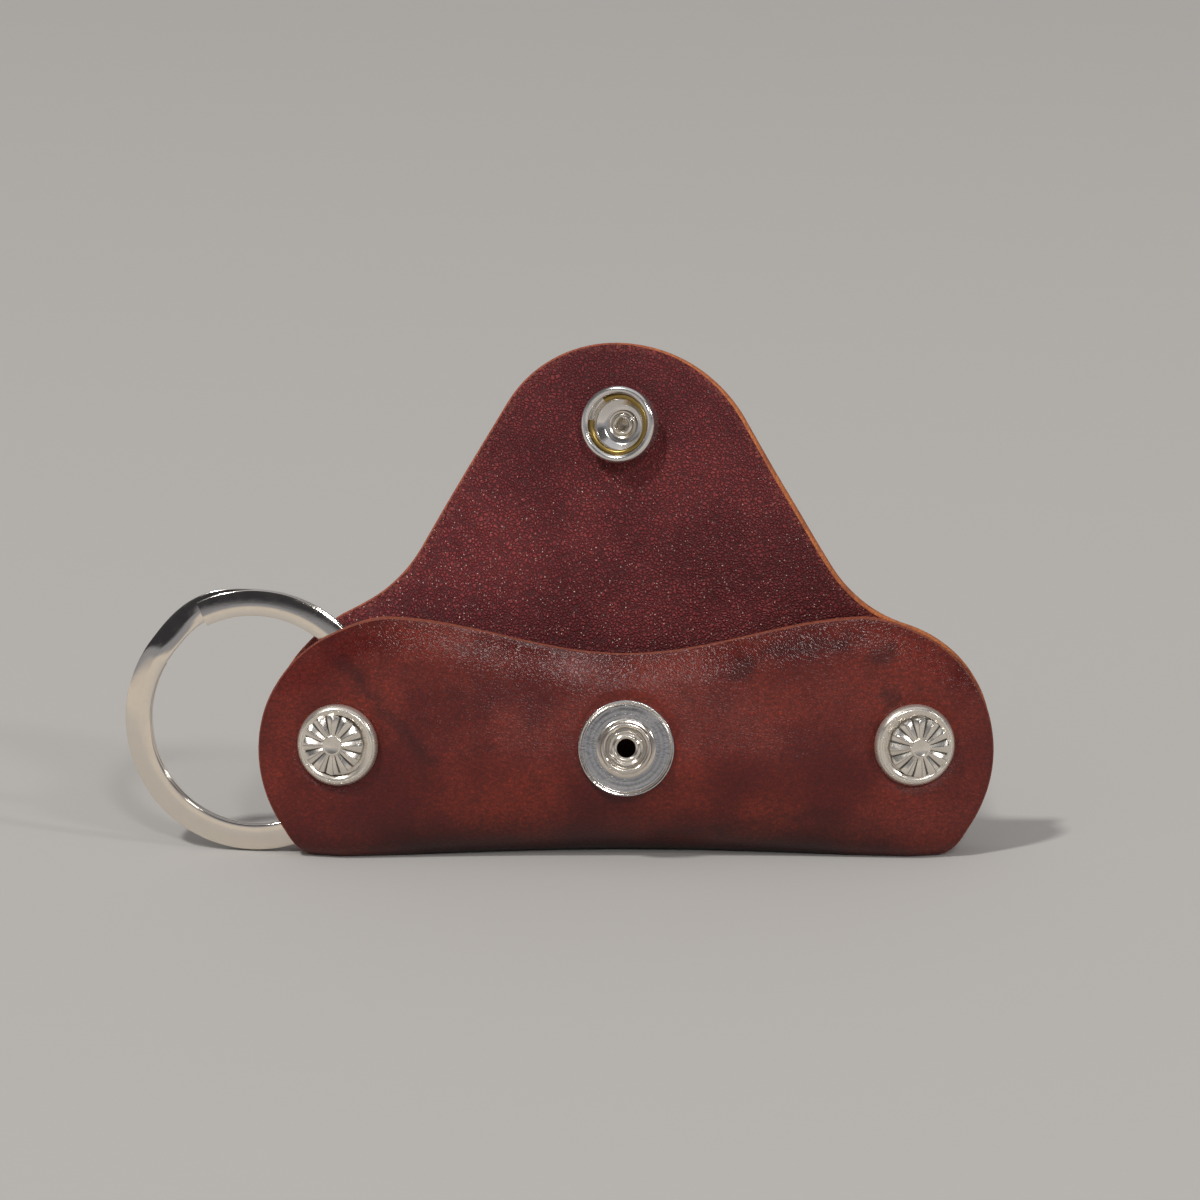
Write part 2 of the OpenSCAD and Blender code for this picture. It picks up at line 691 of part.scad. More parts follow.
module fold_strip() {
    low = strip_low + strip_gap;
    free = strip_run - 2 * strip_gap;
    color("#6e2f28") placed() flap_sheet([for (j = [0:strip_rows]) low + free * j / strip_rows]);
}

module flap_leather() {
    top = tip_up - probe;
    color("#6e2f28") placed() difference() {
        flap_sheet([for (j = [0:flap_rows]) strip_high + (top - strip_high) * sin(90 * j / flap_rows)]);
        at_socket() {
            seat(socket_r);
            hole(post_r, clamp_t);
            behind(clamp_t) seat(bezel_r);
        }
    }
}

module left_bezel() {
    color("#c9c6c0") placed() at_left() bezel();
}

module left_rosette() {
    color("#d6d4ce") placed() at_left() rosette();
}

module left_post() {
    color("#b8b6b0") placed() at_left() post(rivet_span);
}

module left_back_cap() {
    color("#c9c6c0") placed() at_left() behind(rivet_span) back_cap();
}

module right_bezel() {
    color("#c9c6c0") placed() at_right() bezel();
}

module right_rosette() {
    color("#d6d4ce") placed() at_right() rosette();
}

module right_post() {
    color("#b8b6b0") placed() at_right() post(rivet_span);
}

module right_back_cap() {
    color("#c9c6c0") placed() at_right() behind(rivet_span) back_cap();
}

module stud_washer() {
    color("#c9c6c0") placed() at_stud() washer();
}

module snap_stud() {
    color("#d6d4ce") placed() at_stud() stud();
}

module stud_eyelet() {
    color("#c9b9a8") placed() at_stud() eyelet();
}

module snap_socket() {
    color("#d6d4ce") placed() at_socket() socket();
}

module socket_spring() {
    color("#c9a24a") placed() at_socket() spring();
}

module socket_post() {
    color("#b8b6b0") placed() at_socket() tip_post();
}

module flap_bezel() {
    color("#c9c6c0") placed() at_socket() behind(clamp_t) bezel();
}

module flap_rosette() {
    color("#d6d4ce") placed() at_socket() behind(clamp_t) rosette();
}

module key_ring() {
    color("#bdb9b2") placed() facing_along(ring_out, ring_mid) translate([-ring_side, ring_up, 0]) split_ring();
}

case_leather();
fold_strip();
flap_leather();
left_bezel();
left_rosette();
left_post();
left_back_cap();
right_bezel();
right_rosette();
right_post();
right_back_cap();
stud_washer();
snap_stud();
stud_eyelet();
snap_socket();
socket_spring();
socket_post();
flap_bezel();
flap_rosette();
key_ring();
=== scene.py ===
# %% [markdown]
# # A leather key case, dressed around its CAD frame
# The real thing is one sheet of reddish-brown leather, folded at the bottom into a small pouch. Two
# rivets hold the pouch together, a split ring for the keys turns on the left one, and the back panel
# runs on into a flap with the socket of a ring snap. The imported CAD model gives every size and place.
# This script loads it as a fixed frame and adds what CAD leaves out: soft leather, fluted discs,
# a smooth wire and the finishes.

# %% Load the frame
import json
import math
import bmesh
import bpy
import numpy as np
from mathutils import Matrix, Vector
from mathutils.geometry import delaunay_2d_cdt

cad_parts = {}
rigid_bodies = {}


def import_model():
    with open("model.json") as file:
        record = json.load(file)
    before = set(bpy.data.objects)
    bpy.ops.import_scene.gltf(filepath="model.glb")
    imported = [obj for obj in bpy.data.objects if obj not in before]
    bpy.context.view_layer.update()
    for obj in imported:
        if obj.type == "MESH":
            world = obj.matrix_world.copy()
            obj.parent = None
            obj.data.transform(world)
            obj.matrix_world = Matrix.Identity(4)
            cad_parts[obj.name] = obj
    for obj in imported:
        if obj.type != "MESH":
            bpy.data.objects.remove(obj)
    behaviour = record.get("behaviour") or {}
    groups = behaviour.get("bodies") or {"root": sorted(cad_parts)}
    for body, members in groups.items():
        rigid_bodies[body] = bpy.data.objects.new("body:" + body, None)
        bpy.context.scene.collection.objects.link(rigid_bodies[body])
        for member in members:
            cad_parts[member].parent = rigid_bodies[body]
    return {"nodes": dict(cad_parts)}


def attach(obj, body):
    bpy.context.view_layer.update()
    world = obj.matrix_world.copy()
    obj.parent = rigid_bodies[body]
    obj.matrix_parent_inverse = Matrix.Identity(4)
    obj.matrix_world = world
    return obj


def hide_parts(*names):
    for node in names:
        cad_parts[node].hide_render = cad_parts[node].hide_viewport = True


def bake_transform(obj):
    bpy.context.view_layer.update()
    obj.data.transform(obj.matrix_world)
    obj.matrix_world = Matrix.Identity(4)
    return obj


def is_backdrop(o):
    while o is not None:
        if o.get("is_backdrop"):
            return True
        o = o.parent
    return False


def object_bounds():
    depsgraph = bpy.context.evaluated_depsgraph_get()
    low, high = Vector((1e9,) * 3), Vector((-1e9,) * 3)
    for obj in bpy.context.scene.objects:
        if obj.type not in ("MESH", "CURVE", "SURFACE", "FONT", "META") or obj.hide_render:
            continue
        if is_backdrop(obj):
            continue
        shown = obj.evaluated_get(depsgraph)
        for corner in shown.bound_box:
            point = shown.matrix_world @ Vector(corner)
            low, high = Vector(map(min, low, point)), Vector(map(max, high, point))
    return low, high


for old in list(bpy.data.objects):
    bpy.data.objects.remove(old)
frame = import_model()
cad_low, cad_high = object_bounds()
MM = 0.001

# %% [markdown]
# ## The sheet of leather as a rule
# Real leather is cut flat and then folded. So each point gets two flat coordinates: x across, and q,
# the distance from the fold along the leather, below zero on the front and above zero on the back
# and the flap. The next cells hold the sizes in millimetres and the rule that folds the flat sheet.

# %% Sizes of the case, in millimetres
THICK = 1.8
HALF_WIDTH, END_R, END_UP, HUMP_RISE, DIP, HUMP_IN = 50, 18.2, 15.5, 0.7, 3.4, 19
GAP, BULGE, DEPTH = 3.8, 3.4, 6.6
FOLD_H, FOLD_H_MID, FOOT_BACK, FOOT_EASE, PRESS = 3.2, 3.8, 4.2, 15, 0.35
LEAN, BELLY_LEAN, BELLY_UP, BELLY_EASE = 0.12, 0.18, 6, 4
FLAP_LEAN, FLAP_LEAN_UP, FLAP_LEAN_EASE = 0.13, 24, 16
TWIST, TWIST_UP, TWIST_RUN = math.tan(math.radians(18)), 18, 36
TIP_UP, TIP_R, SIDE_ANGLE, FLARE_R = 70.3, 18.8, math.radians(30.5), 20
RIVET_X, RIVET_UP, STUD_UP, SOCKET_UP, SINK = 39, 16.8, 18.6, 59.4, 0.22
CASE_AT = np.array([9.3, -6.7, 0])
END_X = HALF_WIDTH - END_R
HUMP_UP = END_UP + END_R + HUMP_RISE
HUMP_X = HALF_WIDTH - HUMP_IN
FOLD_X = END_X + math.sqrt(END_R**2 - END_UP**2)
print("the fold is", round(2 * FOLD_X, 1), "mm long")


# %% How the pouch opens and stands
def ease(u):
    u = np.clip(u, 0, 1)
    return u * u * (3 - 2 * u)


def soft(u, width):
    return np.where(u <= 0, 0, u * u / np.maximum(u + width, 1e-9))


def reach(x):
    return (x / RIVET_X) ** 2


def belly(x):
    return np.maximum(0, 1 - reach(x)) ** 2


def half_open(x):
    return (GAP + THICK) / 2 + DEPTH / 2 * belly(x)


def round_h(x):
    return FOLD_H + FOLD_H_MID * belly(x)


def round_len(x):
    return math.pi / 2 * np.sqrt((half_open(x) ** 2 + round_h(x) ** 2) / 2)


print("the pouch is", round(float(2 * half_open(0.0)), 1), "mm deep in the middle")


# %% Where a flat point goes
def folded(x, q):
    """Flat coordinates to a place on the leather's middle surface, in the case's own frame."""
    x, q = np.broadcast_arrays(np.asarray(x, float), np.asarray(q, float))
    s, side = np.abs(q), np.where(q < 0, -1.0, 1.0)
    turn = np.clip(s / round_len(x), 0, 1)
    out = half_open(x) * np.sin(math.pi / 2 * turn)
    length = round_len(x)
    up = np.where(s < length, round_h(x) * (1 - np.cos(math.pi / 2 * s / length)), round_h(x) + s - length)
    lean = LEAN * up + FOOT_BACK * np.maximum(0, 1 - reach(x)) * (1 - ease(up / FOOT_EASE))
    front = belly(x) * BELLY_LEAN * soft(up - BELLY_UP, BELLY_EASE)
    back = FLAP_LEAN * soft(up - FLAP_LEAN_UP, FLAP_LEAN_EASE) - x * TWIST * ease((up - TWIST_UP) / TWIST_RUN)
    middle = DEPTH / 2 * belly(x) - BULGE * (1 - reach(x))
    y = middle + side * out + lean + np.where(side < 0, front, back)
    return np.stack([x, y, THICK / 2 - PRESS + up], -1)


def outward(x, q):
    """The direction out of the pouch at a flat point."""
    q = np.where(np.abs(q) < 0.02, 0.02, q)
    step = 0.01
    across = folded(x + step, q) - folded(x - step, q)
    along = folded(x, q + step) - folded(x, q - step)
    n = np.cross(along, across)
    return n / np.linalg.norm(n, axis=-1, keepdims=True)


print("flap tip at", (folded(0, TIP_UP) + CASE_AT).round(1), "mm")


# %% Seats of the metal pieces
def facing(n, o):
    """A frame with z along n, x level and to the right, in metres."""
    e1 = np.cross([0, 0, 1], n)
    e1 /= np.linalg.norm(e1)
    e2 = np.cross(n, e1)
    m = np.eye(4)
    m[:3] = np.column_stack([e1, e2, n, (o + CASE_AT) * MM])
    return Matrix(m.tolist())


def seat(x, q, inside=False):
    n = outward(x, q) * (-1 if inside else 1)
    return facing(n, folded(x, q) + n * (THICK / 2 - SINK))


left_seat, right_seat = seat(-RIVET_X, -RIVET_UP), seat(RIVET_X, -RIVET_UP)
stud_seat, socket_seat = seat(0, -STUD_UP), seat(0, SOCKET_UP, inside=True)
flap_seat = seat(0, SOCKET_UP)
for name, place in (("left", left_seat), ("stud", stud_seat), ("socket", socket_seat)):
    print(name, "seat at", [round(c * 1000, 2) for c in place.translation])

# %% [markdown]
# ## The cut outline
# The outline is drawn flat, as a knife would cut it: round ends, a front edge with two humps and a
# dip, hollow flares, straight sides and a round tip. It is made of arcs and lines, then cut into
# even steps, because even steps give even triangles along the edge.

# %% Outline of the back panel, the flap and the front panel
side_out = np.array([math.cos(SIDE_ANGLE), math.sin(SIDE_ANGLE)])
side_down = np.array([math.sin(SIDE_ANGLE), -math.cos(SIDE_ANGLE)])
tip_mid = np.array([0, TIP_UP - TIP_R])
end_mid = np.array([END_X, END_UP])
side_top = tip_mid + TIP_R * side_out
to_flare = side_top + FLARE_R * side_out - end_mid
b = to_flare @ side_down
side_run = -b - math.sqrt(b * b - to_flare @ to_flare + (END_R + FLARE_R) ** 2)
flare_mid = side_top + FLARE_R * side_out + side_run * side_down


def arc(middle, radius, start, end, count=80):
    a = np.linspace(start, end, count)
    return middle + radius * np.column_stack([np.cos(a), np.sin(a)])


def angle_of(v):
    return math.atan2(v[1], v[0])


low = -math.asin(END_UP / END_R)
back_half = np.vstack([
    arc(end_mid, END_R, low, angle_of(flare_mid - end_mid)),
    arc(flare_mid, FLARE_R, angle_of(end_mid - flare_mid), angle_of(-side_out))[1:],
    arc(tip_mid, TIP_R, SIDE_ANGLE, math.pi / 2),
])
end_arc = arc(end_mid, END_R, low, math.acos((HUMP_X - END_X) / END_R))
hump = HUMP_RISE * (1 - ease(2 * (end_arc[:, 0] - HUMP_X) / HUMP_IN))
end_arc[:, 1] += np.where(end_arc[:, 1] > END_UP, hump, 0)
dip_x = np.linspace(HUMP_X, 0, 60)[1:]
dip_line = np.column_stack([dip_x, HUMP_UP - DIP + DIP * (1 - np.cos(math.pi * dip_x / HUMP_X)) / 2])
front_half = np.vstack([end_arc, dip_line]) * [1, -1]
print("back half outline", len(back_half), "points, front half", len(front_half))


# %% One even closed loop
def even(points, step):
    """The same line with points about step apart."""
    gaps = np.linalg.norm(np.diff(points, axis=0), axis=1)
    run = np.append(0, np.cumsum(gaps))
    at = np.linspace(0, run[-1], max(2, round(run[-1] / step) + 1))
    return np.column_stack([np.interp(at, run, points[:, k]) for k in (0, 1)])


STEP, CUT_IN = 0.55, 0.9
mirror = np.array([-1, 1])
right_back, right_front = even(back_half, STEP), even(front_half, STEP)
left_back = right_back * mirror
# In the photo the back panel's upper left end is cut in a little.
from_mid = left_back - end_mid * mirror
turn_of = np.degrees(np.arctan2(from_mid[:, 1], -from_mid[:, 0]))
cut_in = CUT_IN * ease((turn_of + 15) / 35) * (1 - ease((turn_of - 45) / 35))
left_back = left_back - from_mid / END_R * cut_in[:, None]
outline = np.vstack([right_back, left_back[-2::-1], (right_front * mirror)[1:], right_front[-2:0:-1]])


def loop_out(loop):
    """Outward directions of a counter-clockwise loop."""
    along = np.roll(loop, -1, 0) - np.roll(loop, 1, 0)
    n = np.column_stack([along[:, 1], -along[:, 0]])
    return n / np.linalg.norm(n, axis=1, keepdims=True)


sides, ups = outline.T
area = (sides @ np.roll(ups, -1) - ups @ np.roll(sides, -1)) / 2
print("outline of", len(outline), "points,", round(area / 100, 1), "square cm of leather")

# %% [markdown]
# ## Filling the outline
# The inside is filled with points in a honeycomb and rings of points round each rivet, because the
# leather is pressed in and puffs up there. A constrained triangulation joins them, and keeps the
# outline and the punched holes as edges.

# %% Points of the sheet
SPACING = 0.8
EDGE_IN = 0.24
holes = [(0, -STUD_UP, 1.7), (0, SOCKET_UP, 1.45)]
seats = [(-RIVET_X, -RIVET_UP, 5.6), (RIVET_X, -RIVET_UP, 5.6), (0, -STUD_UP, 6.5),
         (-RIVET_X, RIVET_UP, 4.6), (RIVET_X, RIVET_UP, 4.6), (0, SOCKET_UP, 5.5)]


def circle(x, q, radius, step):
    return arc(np.array([x, q]), radius, 0, 2 * math.pi, max(24, round(2 * math.pi * radius / step)) + 1)[:-1]


inset = outline - EDGE_IN * loop_out(outline)
hole_loops = [circle(*hole, 0.45) for hole in holes]
ring_points = np.vstack([circle(x, q, r + d, 0.7) for x, q, r in seats for d in (-0.6, -0.1, 0.35, 0.8, 1.4)])
rows = np.arange(-36, 72, SPACING * math.sqrt(3) / 2)
columns = np.arange(-51, 51, SPACING)
grid = np.vstack([
    np.column_stack([columns + (k % 2) * SPACING / 2, np.full(len(columns), q)])
    for k, q in enumerate(rows)
])
print(len(ring_points), "points in rings,", len(grid), "in the honeycomb")


# %% Keep what lies inside
def inside(points, loop):
    a, c = loop, np.roll(loop, -1, 0)
    crossed = np.zeros(len(points), bool)
    for (ax, ay), (cx, cy) in zip(a, c):
        if ay != cy:
            hit = (ay > points[:, 1]) != (cy > points[:, 1])
            crossed ^= hit & (points[:, 0] < (cx - ax) * (points[:, 1] - ay) / (cy - ay) + ax)
    return crossed


def nearest(points, others):
    found = np.full(len(points), 1e9)
    for k in range(0, len(others), 200):
        d = points[:, None] - others[None, k:k + 200]
        found = np.minimum(found, np.sqrt((d**2).sum(-1)).min(1))
    return found


keep = inside(grid, inset) & (nearest(grid, inset) > 0.55 * SPACING)
for x, q, r in seats:
    off = np.hypot(grid[:, 0] - x, grid[:, 1] - q)
    keep &= (off < r - 1.1) | (off > r + 1.9)
for x, q, r in holes:
    keep &= np.hypot(grid[:, 0] - x, grid[:, 1] - q) > r + 0.5
grid = grid[keep]
print("sheet of", len(grid) + len(ring_points) + len(inset), "points")

# %% Triangles of the flat sheet
flat = np.vstack([inset, *hole_loops, ring_points, grid])
loops, start = [], 0
for loop in [inset, *hole_loops]:
    loops.append(np.arange(start, start + len(loop)))
    start += len(loop)
edges = [(int(i), int(j)) for loop in loops for i, j in zip(loop, np.roll(loop, -1))]
made = delaunay_2d_cdt([Vector(p) for p in flat.tolist()], edges, [], 0, 1e-7)
came_from = [o[0] for o in made[3]]
triangles = np.array([[came_from[i] for i in f] for f in made[2]])
middles = flat[triangles].mean(1)
good = inside(middles, inset)
for x, q, r in holes:
    good &= np.hypot(middles[:, 0] - x, middles[:, 1] - q) > r * 0.98
triangles = triangles[good]
p0, p1, p2 = (flat[triangles[:, k]] for k in range(3))
wrong = np.cross(p1 - p0, p2 - p0) < 0
triangles[wrong] = triangles[wrong][:, ::-1]
print(len(triangles), "flat triangles,", len(made[0]) - len(flat), "points added")

# %% [markdown]
# ## Giving the leather its body
# Leather is never quite even. The sheet gets slow waves, a dimple and a soft puff round each piece that is
# pressed into it, and cut edges that are a little rounded. The outer and inner skins and the rows of the edge
# are three finishes of one closed mesh.

# %% Waves, dimples and puffs
PRESS_IN, PUFF, LIP, PARED = 0.16, 0.12, 0.7, 0.65


def fullness(x, q, outer):
    """How far a skin stands off its even place, in millimetres."""
    wave = 0.10 * np.sin(x * 0.19 + 1.3) * np.sin(q * 0.23 + 0.4)
    wave = wave + 0.06 * np.sin(x * 0.41 - q * 0.33 + 2.0)
    calm = np.ones_like(x)
    press = np.zeros_like(x)
    for sx, sq, r in seats:
        d = np.hypot(x - sx, q - sq) - r
        calm = np.minimum(calm, ease(d / 6))
        press += PUFF * ease(d / 1.2) * (1 - ease((d - 1.2) / 3.2)) - PRESS_IN * (1 - ease(d / 0.9))
    calm = calm * ease((np.abs(q) - 6) / 8)
    return wave * calm * (1 if outer else -1) + press


def near_edge(points):
    """How far the front panel's upper edge rolls in, and how much of the flap's edge is pared away."""
    far = nearest(points, outline)
    lip = LIP * (1 - ease(far / 5.5)) * ease((-points[:, 1] - 21) / 7)
    pared = PARED * (1 - ease(far / 3.5)) * ease((points[:, 1] - 6) / 10)
    return lip, pared


def skin_place(points, depth):
    """Places of flat points on a skin that is depth from the middle surface, in metres."""
    x, q = points[:, 0], points[:, 1]
    full = fullness(x, q, depth > 0)
    share = np.clip(abs(depth) / (THICK / 2), 0, 1)
    lip, pared = near_edge(points)
    away = depth + np.sign(depth) * full * share - lip - pared * (depth / THICK + 0.5)
    p = folded(x, q) + outward(x, q) * away[:, None]
    p[:, 2] = np.maximum(p[:, 2], 0.0)
    return (p + CASE_AT) * MM


half = THICK / 2
edge_rows = [(0.09, half - 0.06), (0.0, half - 0.32), (0.0, 0.0), (0.0, 0.32 - half), (0.09, 0.06 - half)]
print("rows over the cut edge:", len(edge_rows) + 2)

# %% Build the mesh of the sheet
count = len(flat)
places = [skin_place(flat, half), skin_place(flat, -half)]
faces = [triangles[:, ::-1], triangles + count]
finish_of = [np.zeros(len(triangles), int), np.ones(len(triangles), int)]
flats = [flat, flat]
depths = [np.full(count, half), np.full(count, -half)]
total = 2 * count
for number, loop in enumerate(loops):
    base = outline if number == 0 else flat[loop]
    n = loop_out(base)
    ids = [loop]
    for back_in, depth in edge_rows:
        row = base - n * (back_in if number == 0 else 0)
        places.append(skin_place(row, depth))
        flats.append(row)
        depths.append(np.full(len(row), depth))
        ids.append(np.arange(total, total + len(row)))
        total += len(row)
    ids.append(loop + count)
    for a, c in zip(ids, ids[1:]):
        quads = np.column_stack([a, np.roll(a, -1), np.roll(c, -1), c])
        if number:
            quads = quads[:, ::-1]
        for pick in ([0, 1, 2], [0, 2, 3]):
            faces.append(quads[:, pick])
            finish_of.append(np.full(len(quads), 2))
places, faces, finish_of = np.vstack(places), np.vstack(faces), np.concatenate(finish_of)
flats, depths = np.vstack(flats), np.concatenate(depths)
print("sheet mesh:", len(places), "points,", len(faces), "triangles")


# %% Mesh and map of the sheet
MAP_MM, MAP_X, MAP_Y, FLESH_X = 220.0, 52.0, 36.0, 106.0


def mesh_of(name, points, triangles_of, smooth=True):
    mesh = bpy.data.meshes.new(name)
    mesh.from_pydata(points.tolist(), [], triangles_of.tolist())
    mesh.polygons.foreach_set("use_smooth", [smooth] * len(mesh.polygons))
    mesh.update()
    return mesh


def shown(name, data):
    piece = bpy.data.objects.new(name, data)
    bpy.context.scene.collection.objects.link(piece)
    return piece


sheet = mesh_of("leather_sheet", places, faces)
flat_map = sheet.uv_layers.new(name="flat")
corner = faces.ravel()
shift = np.where(np.repeat(finish_of, 3) == 1, MAP_X + FLESH_X, MAP_X)
uv = np.column_stack([flats[corner, 0] + shift, flats[corner, 1] + MAP_Y]) / MAP_MM
flat_map.data.foreach_set("uv", uv.astype(np.float32).ravel())
to_edge = np.where(np.abs(depths) < half, 0, nearest(flats, outline))
for label, values in (("to_edge", to_edge), ("depth", depths)):
    sheet.attributes.new(label, "FLOAT", "POINT").data.foreach_set("value", values.astype(np.float32))
sheet.polygons.foreach_set("material_index", finish_of.astype(np.int32))
leather_sheet = shown("leather_sheet", sheet)
print("box of the sheet:", (places.min(0) * 1000).round(2), (places.max(0) * 1000).round(2))

# %% [markdown]
# ## Helpers for node trees
# Blender's node trees hold both the finishes and the shapes that follow a rule. The helpers below
# draw in the tree that is open. What comes out of a node is kept as a Flow, and Python's own signs
# add the Math nodes between flows, so a rule reads like the sum that it is.


# %% Add a node
class Flow:
    """What comes out of a node."""

    def __init__(self, socket):
        self.socket = socket

    def __abs__(self):
        return calc("ABSOLUTE", self)


def open_up(tree):
    """The helpers draw in this tree from now on."""
    global open_tree
    open_tree = tree
    return tree


def fill(node, inputs):
    """Joins or sets inputs of a node."""
    for key, value in inputs.items():
        if isinstance(value, Flow):
            open_tree.links.new(value.socket, node.inputs[key])
        else:
            node.inputs[key].default_value = value
    return node


def add(kind, inputs=None, **settings):
    node = open_tree.nodes.new(kind)
    for name, value in settings.items():
        setattr(node, name, value)
    return fill(node, inputs or {})


def flow(kind, inputs=None, key=0, **settings):
    """Adds a node and gives one of its outputs."""
    return Flow(add(kind, inputs, **settings).outputs[key])


def flows(node):
    """All outputs of a node by name."""
    return {out.name: Flow(out) for out in node.outputs}


def calc(operation, *values, clamp=False):
    return flow("ShaderNodeMath", dict(enumerate(values)), operation=operation, use_clamp=clamp)


print("helpers:", add.__name__, flow.__name__, calc.__name__)

# %% Signs between flows
SIGNS = {"add": "ADD", "sub": "SUBTRACT", "mul": "MULTIPLY", "truediv": "DIVIDE", "pow": "POWER"}
for sign, operation in SIGNS.items():
    setattr(Flow, f"__{sign}__", lambda a, c, do=operation: calc(do, a, c))
    setattr(Flow, f"__r{sign}__", lambda a, c, do=operation: calc(do, c, a))
print("signs:", sorted(SIGNS))


# %% Places, ramps and noise
def vec(operation, *values):
    gives_number = operation in ("DOT_PRODUCT", "DISTANCE", "LENGTH")
    return flow("ShaderNodeVectorMath", dict(enumerate(values)), int(gives_number), operation=operation)


def xyz(place):
    return flows(add("ShaderNodeSeparateXYZ", {0: place}))


def only_z(height):
    return flow("ShaderNodeCombineXYZ", {"Z": height})


def polar(radius, angle, height):
    """A place from its distance and turn round z."""
    sides = {"X": radius * calc("COSINE", angle), "Y": radius * calc("SINE", angle), "Z": height}
    return flow("ShaderNodeCombineXYZ", sides)


def between(value, start, end, kind="SMOOTHSTEP"):
    """0 at start, 1 at end, with soft ends."""
    limits = {"Value": value, "From Min": start, "From Max": end}
    return flow("ShaderNodeMapRange", limits, interpolation_type=kind)


def ramp(value, start, end):
    """0 at start, 1 at end, in a straight line."""
    return between(value, start, end, "LINEAR")


def noise(place, scale, detail, key="Fac"):
    return flow("ShaderNodeTexNoise", {"Vector": place, "Scale": scale, "Detail": detail}, key)


print("places, ramps and noise ready")


# %% Groups
def group(name, inputs, outputs):
    """Opens an empty shader group, and gives it, its inputs as flows and its output node."""
    tree = open_up(bpy.data.node_groups.new(name, "ShaderNodeTree"))
    for way, labels in (("INPUT", inputs), ("OUTPUT", outputs)):
        for label in labels.split():
            kind = "NodeSocketVector" if label in ("Place", "From", "To") else "NodeSocketFloat"
            tree.interface.new_socket(label, in_out=way, socket_type=kind)
    return tree, flows(add("NodeGroupInput")), add("NodeGroupOutput")


def use(shared, **inputs):
    """Places a group in the open tree and gives its outputs."""
    return flows(fill(add("ShaderNodeGroup", node_tree=shared), inputs))


def mask(shared, **inputs):
    return use(shared, **inputs)["Mask"]


print("group helpers ready")

# %% [markdown]
# ## Shared effects
# Some effects come back in several finishes, so each is a group, built once: the pebble of leather, slow
# blotches, small painted glints, a soft stroke for a crease or a stain, fine scratches on metal and the rings
# that a lathe leaves. They work in millimetres.

# %% Pebble of leather
pebble, got, gives = group("leather_pebble", "Place Cell Fine", "Height Valley")
warped = vec("ADD", got["Place"], noise(got["Place"], 0.7, 2.0, "Color"))
cells = flow("ShaderNodeTexVoronoi", {"Vector": warped, "Scale": 1.0 / got["Cell"]}, "Distance",
             feature="DISTANCE_TO_EDGE")
domes = calc("MINIMUM", cells, 0.32) * 3.1
height = domes + noise(got["Place"], 5.5, 3.0) * got["Fine"]
fill(gives, {"Height": height, "Valley": calc("SUBTRACT", 1.0, domes, clamp=True)})
print("group:", pebble.name)

# %% Blotches, painted glints and scratches
blotch, got, gives = group("slow_blotches", "Place Size Low High", "Mask")
clouds = flow("ShaderNodeTexNoise", {
    "Vector": got["Place"], "Scale": 1.0 / got["Size"], "Detail": 3.0, "Roughness": 0.55})
fill(gives, {"Mask": between(clouds, got["Low"], got["High"])})

# Small bright dots of painted highlight, used as glints on leather.
painted_glint_group, got, gives = group("painted_glints", "Place Apart Share", "Mask")
painted_glint_dots = flows(add("ShaderNodeTexVoronoi", {"Vector": got["Place"], "Scale": 1.0 / got["Apart"]}))
luck = flow("ShaderNodeSeparateColor", {"Color": painted_glint_dots["Color"]})
fill(gives, {"Mask": calc("LESS_THAN", painted_glint_dots["Distance"], got["Share"] * luck**3.0)})

scratch, got, gives = group("fine_scratches", "Place Turn", "Mask")
tilted = flow("ShaderNodeVectorRotate", {
    "Vector": got["Place"], "Axis": (0.2, 0.9, 0.3), "Angle": got["Turn"]}, rotation_type="AXIS_ANGLE")
lines = noise(vec("MULTIPLY", tilted, (0.25, 5.0, 5.0)), 1.2, 2.0)
fill(gives, {"Mask": ramp(lines, 0.62, 0.72)})
print("groups:", blotch.name, painted_glint_group.name, scratch.name)

# %% A soft stroke between two points, and the marks of a lathe
stroke, got, gives = group("soft_stroke", "Place From To Width", "Mask")
wander = vec("SUBTRACT", noise(got["Place"], 0.5, 3.0, "Color"), (0.5, 0.5, 0.5))
from_start = vec("SUBTRACT", got["Place"], got["From"])
moved = vec("ADD", from_start, vec("MULTIPLY", wander, (3.6, 3.6, 0.0)))
whole = vec("SUBTRACT", got["To"], got["From"])
along = calc("DIVIDE", vec("DOT_PRODUCT", moved, whole), vec("DOT_PRODUCT", whole, whole), clamp=True)
off = vec("DISTANCE", moved, vec("MULTIPLY", whole, along)) / got["Width"]
fill(gives, {"Mask": between(off, 1.0, 0.1)})

FLAT = (1.0, 1.0, 0.0)
lathed, got, gives = group("lathe_marks", "Place", "Rings Ticks")
level = vec("MULTIPLY", got["Place"], FLAT)
far = vec("LENGTH", level)
turns = flow("ShaderNodeTexNoise", {"W": far, "Scale": 3.0, "Detail": 2.0}, noise_dimensions="1D")
around = vec("ADD", vec("MULTIPLY", vec("NORMALIZE", level), (14.0,) * 3), only_z(far))
fill(gives, {"Rings": ramp(turns, 0.4, 0.62), "Ticks": ramp(noise(around, 1.2, 1.0), 0.5, 0.64)})
print("groups:", stroke.name, lathed.name)

# %% [markdown]
# ## Finishes of the leather
# The grain side is smooth and glossy, with slow redder and darker patches, a few painted glints and painted
# shade where the pouch turns under. The flesh side is darker and pebbly, full of tiny painted glints. The cut
# edge shows raw tan fibres. All three read the flat map, so the pattern stays fixed to the leather.


# %% A finish to start from
def finish(name):
    """Opens a new material, and gives it and its shader node."""
    material = bpy.data.materials.new(name)
    material.use_nodes = True
    return material, open_up(material.node_tree).nodes["Principled BSDF"]


def flat_place():
    return vec("MULTIPLY", flow("ShaderNodeUVMap", uv_map="flat"), (MAP_MM,) * 3)


def value_of(label, key="Fac"):
    """A value that the mesh carries."""
    return flow("ShaderNodeAttribute", key=key, attribute_name=label)


def mixed(share, a, c):
    return flow("ShaderNodeMix", {0: share, 6: a, 7: c}, 2, data_type="RGBA")


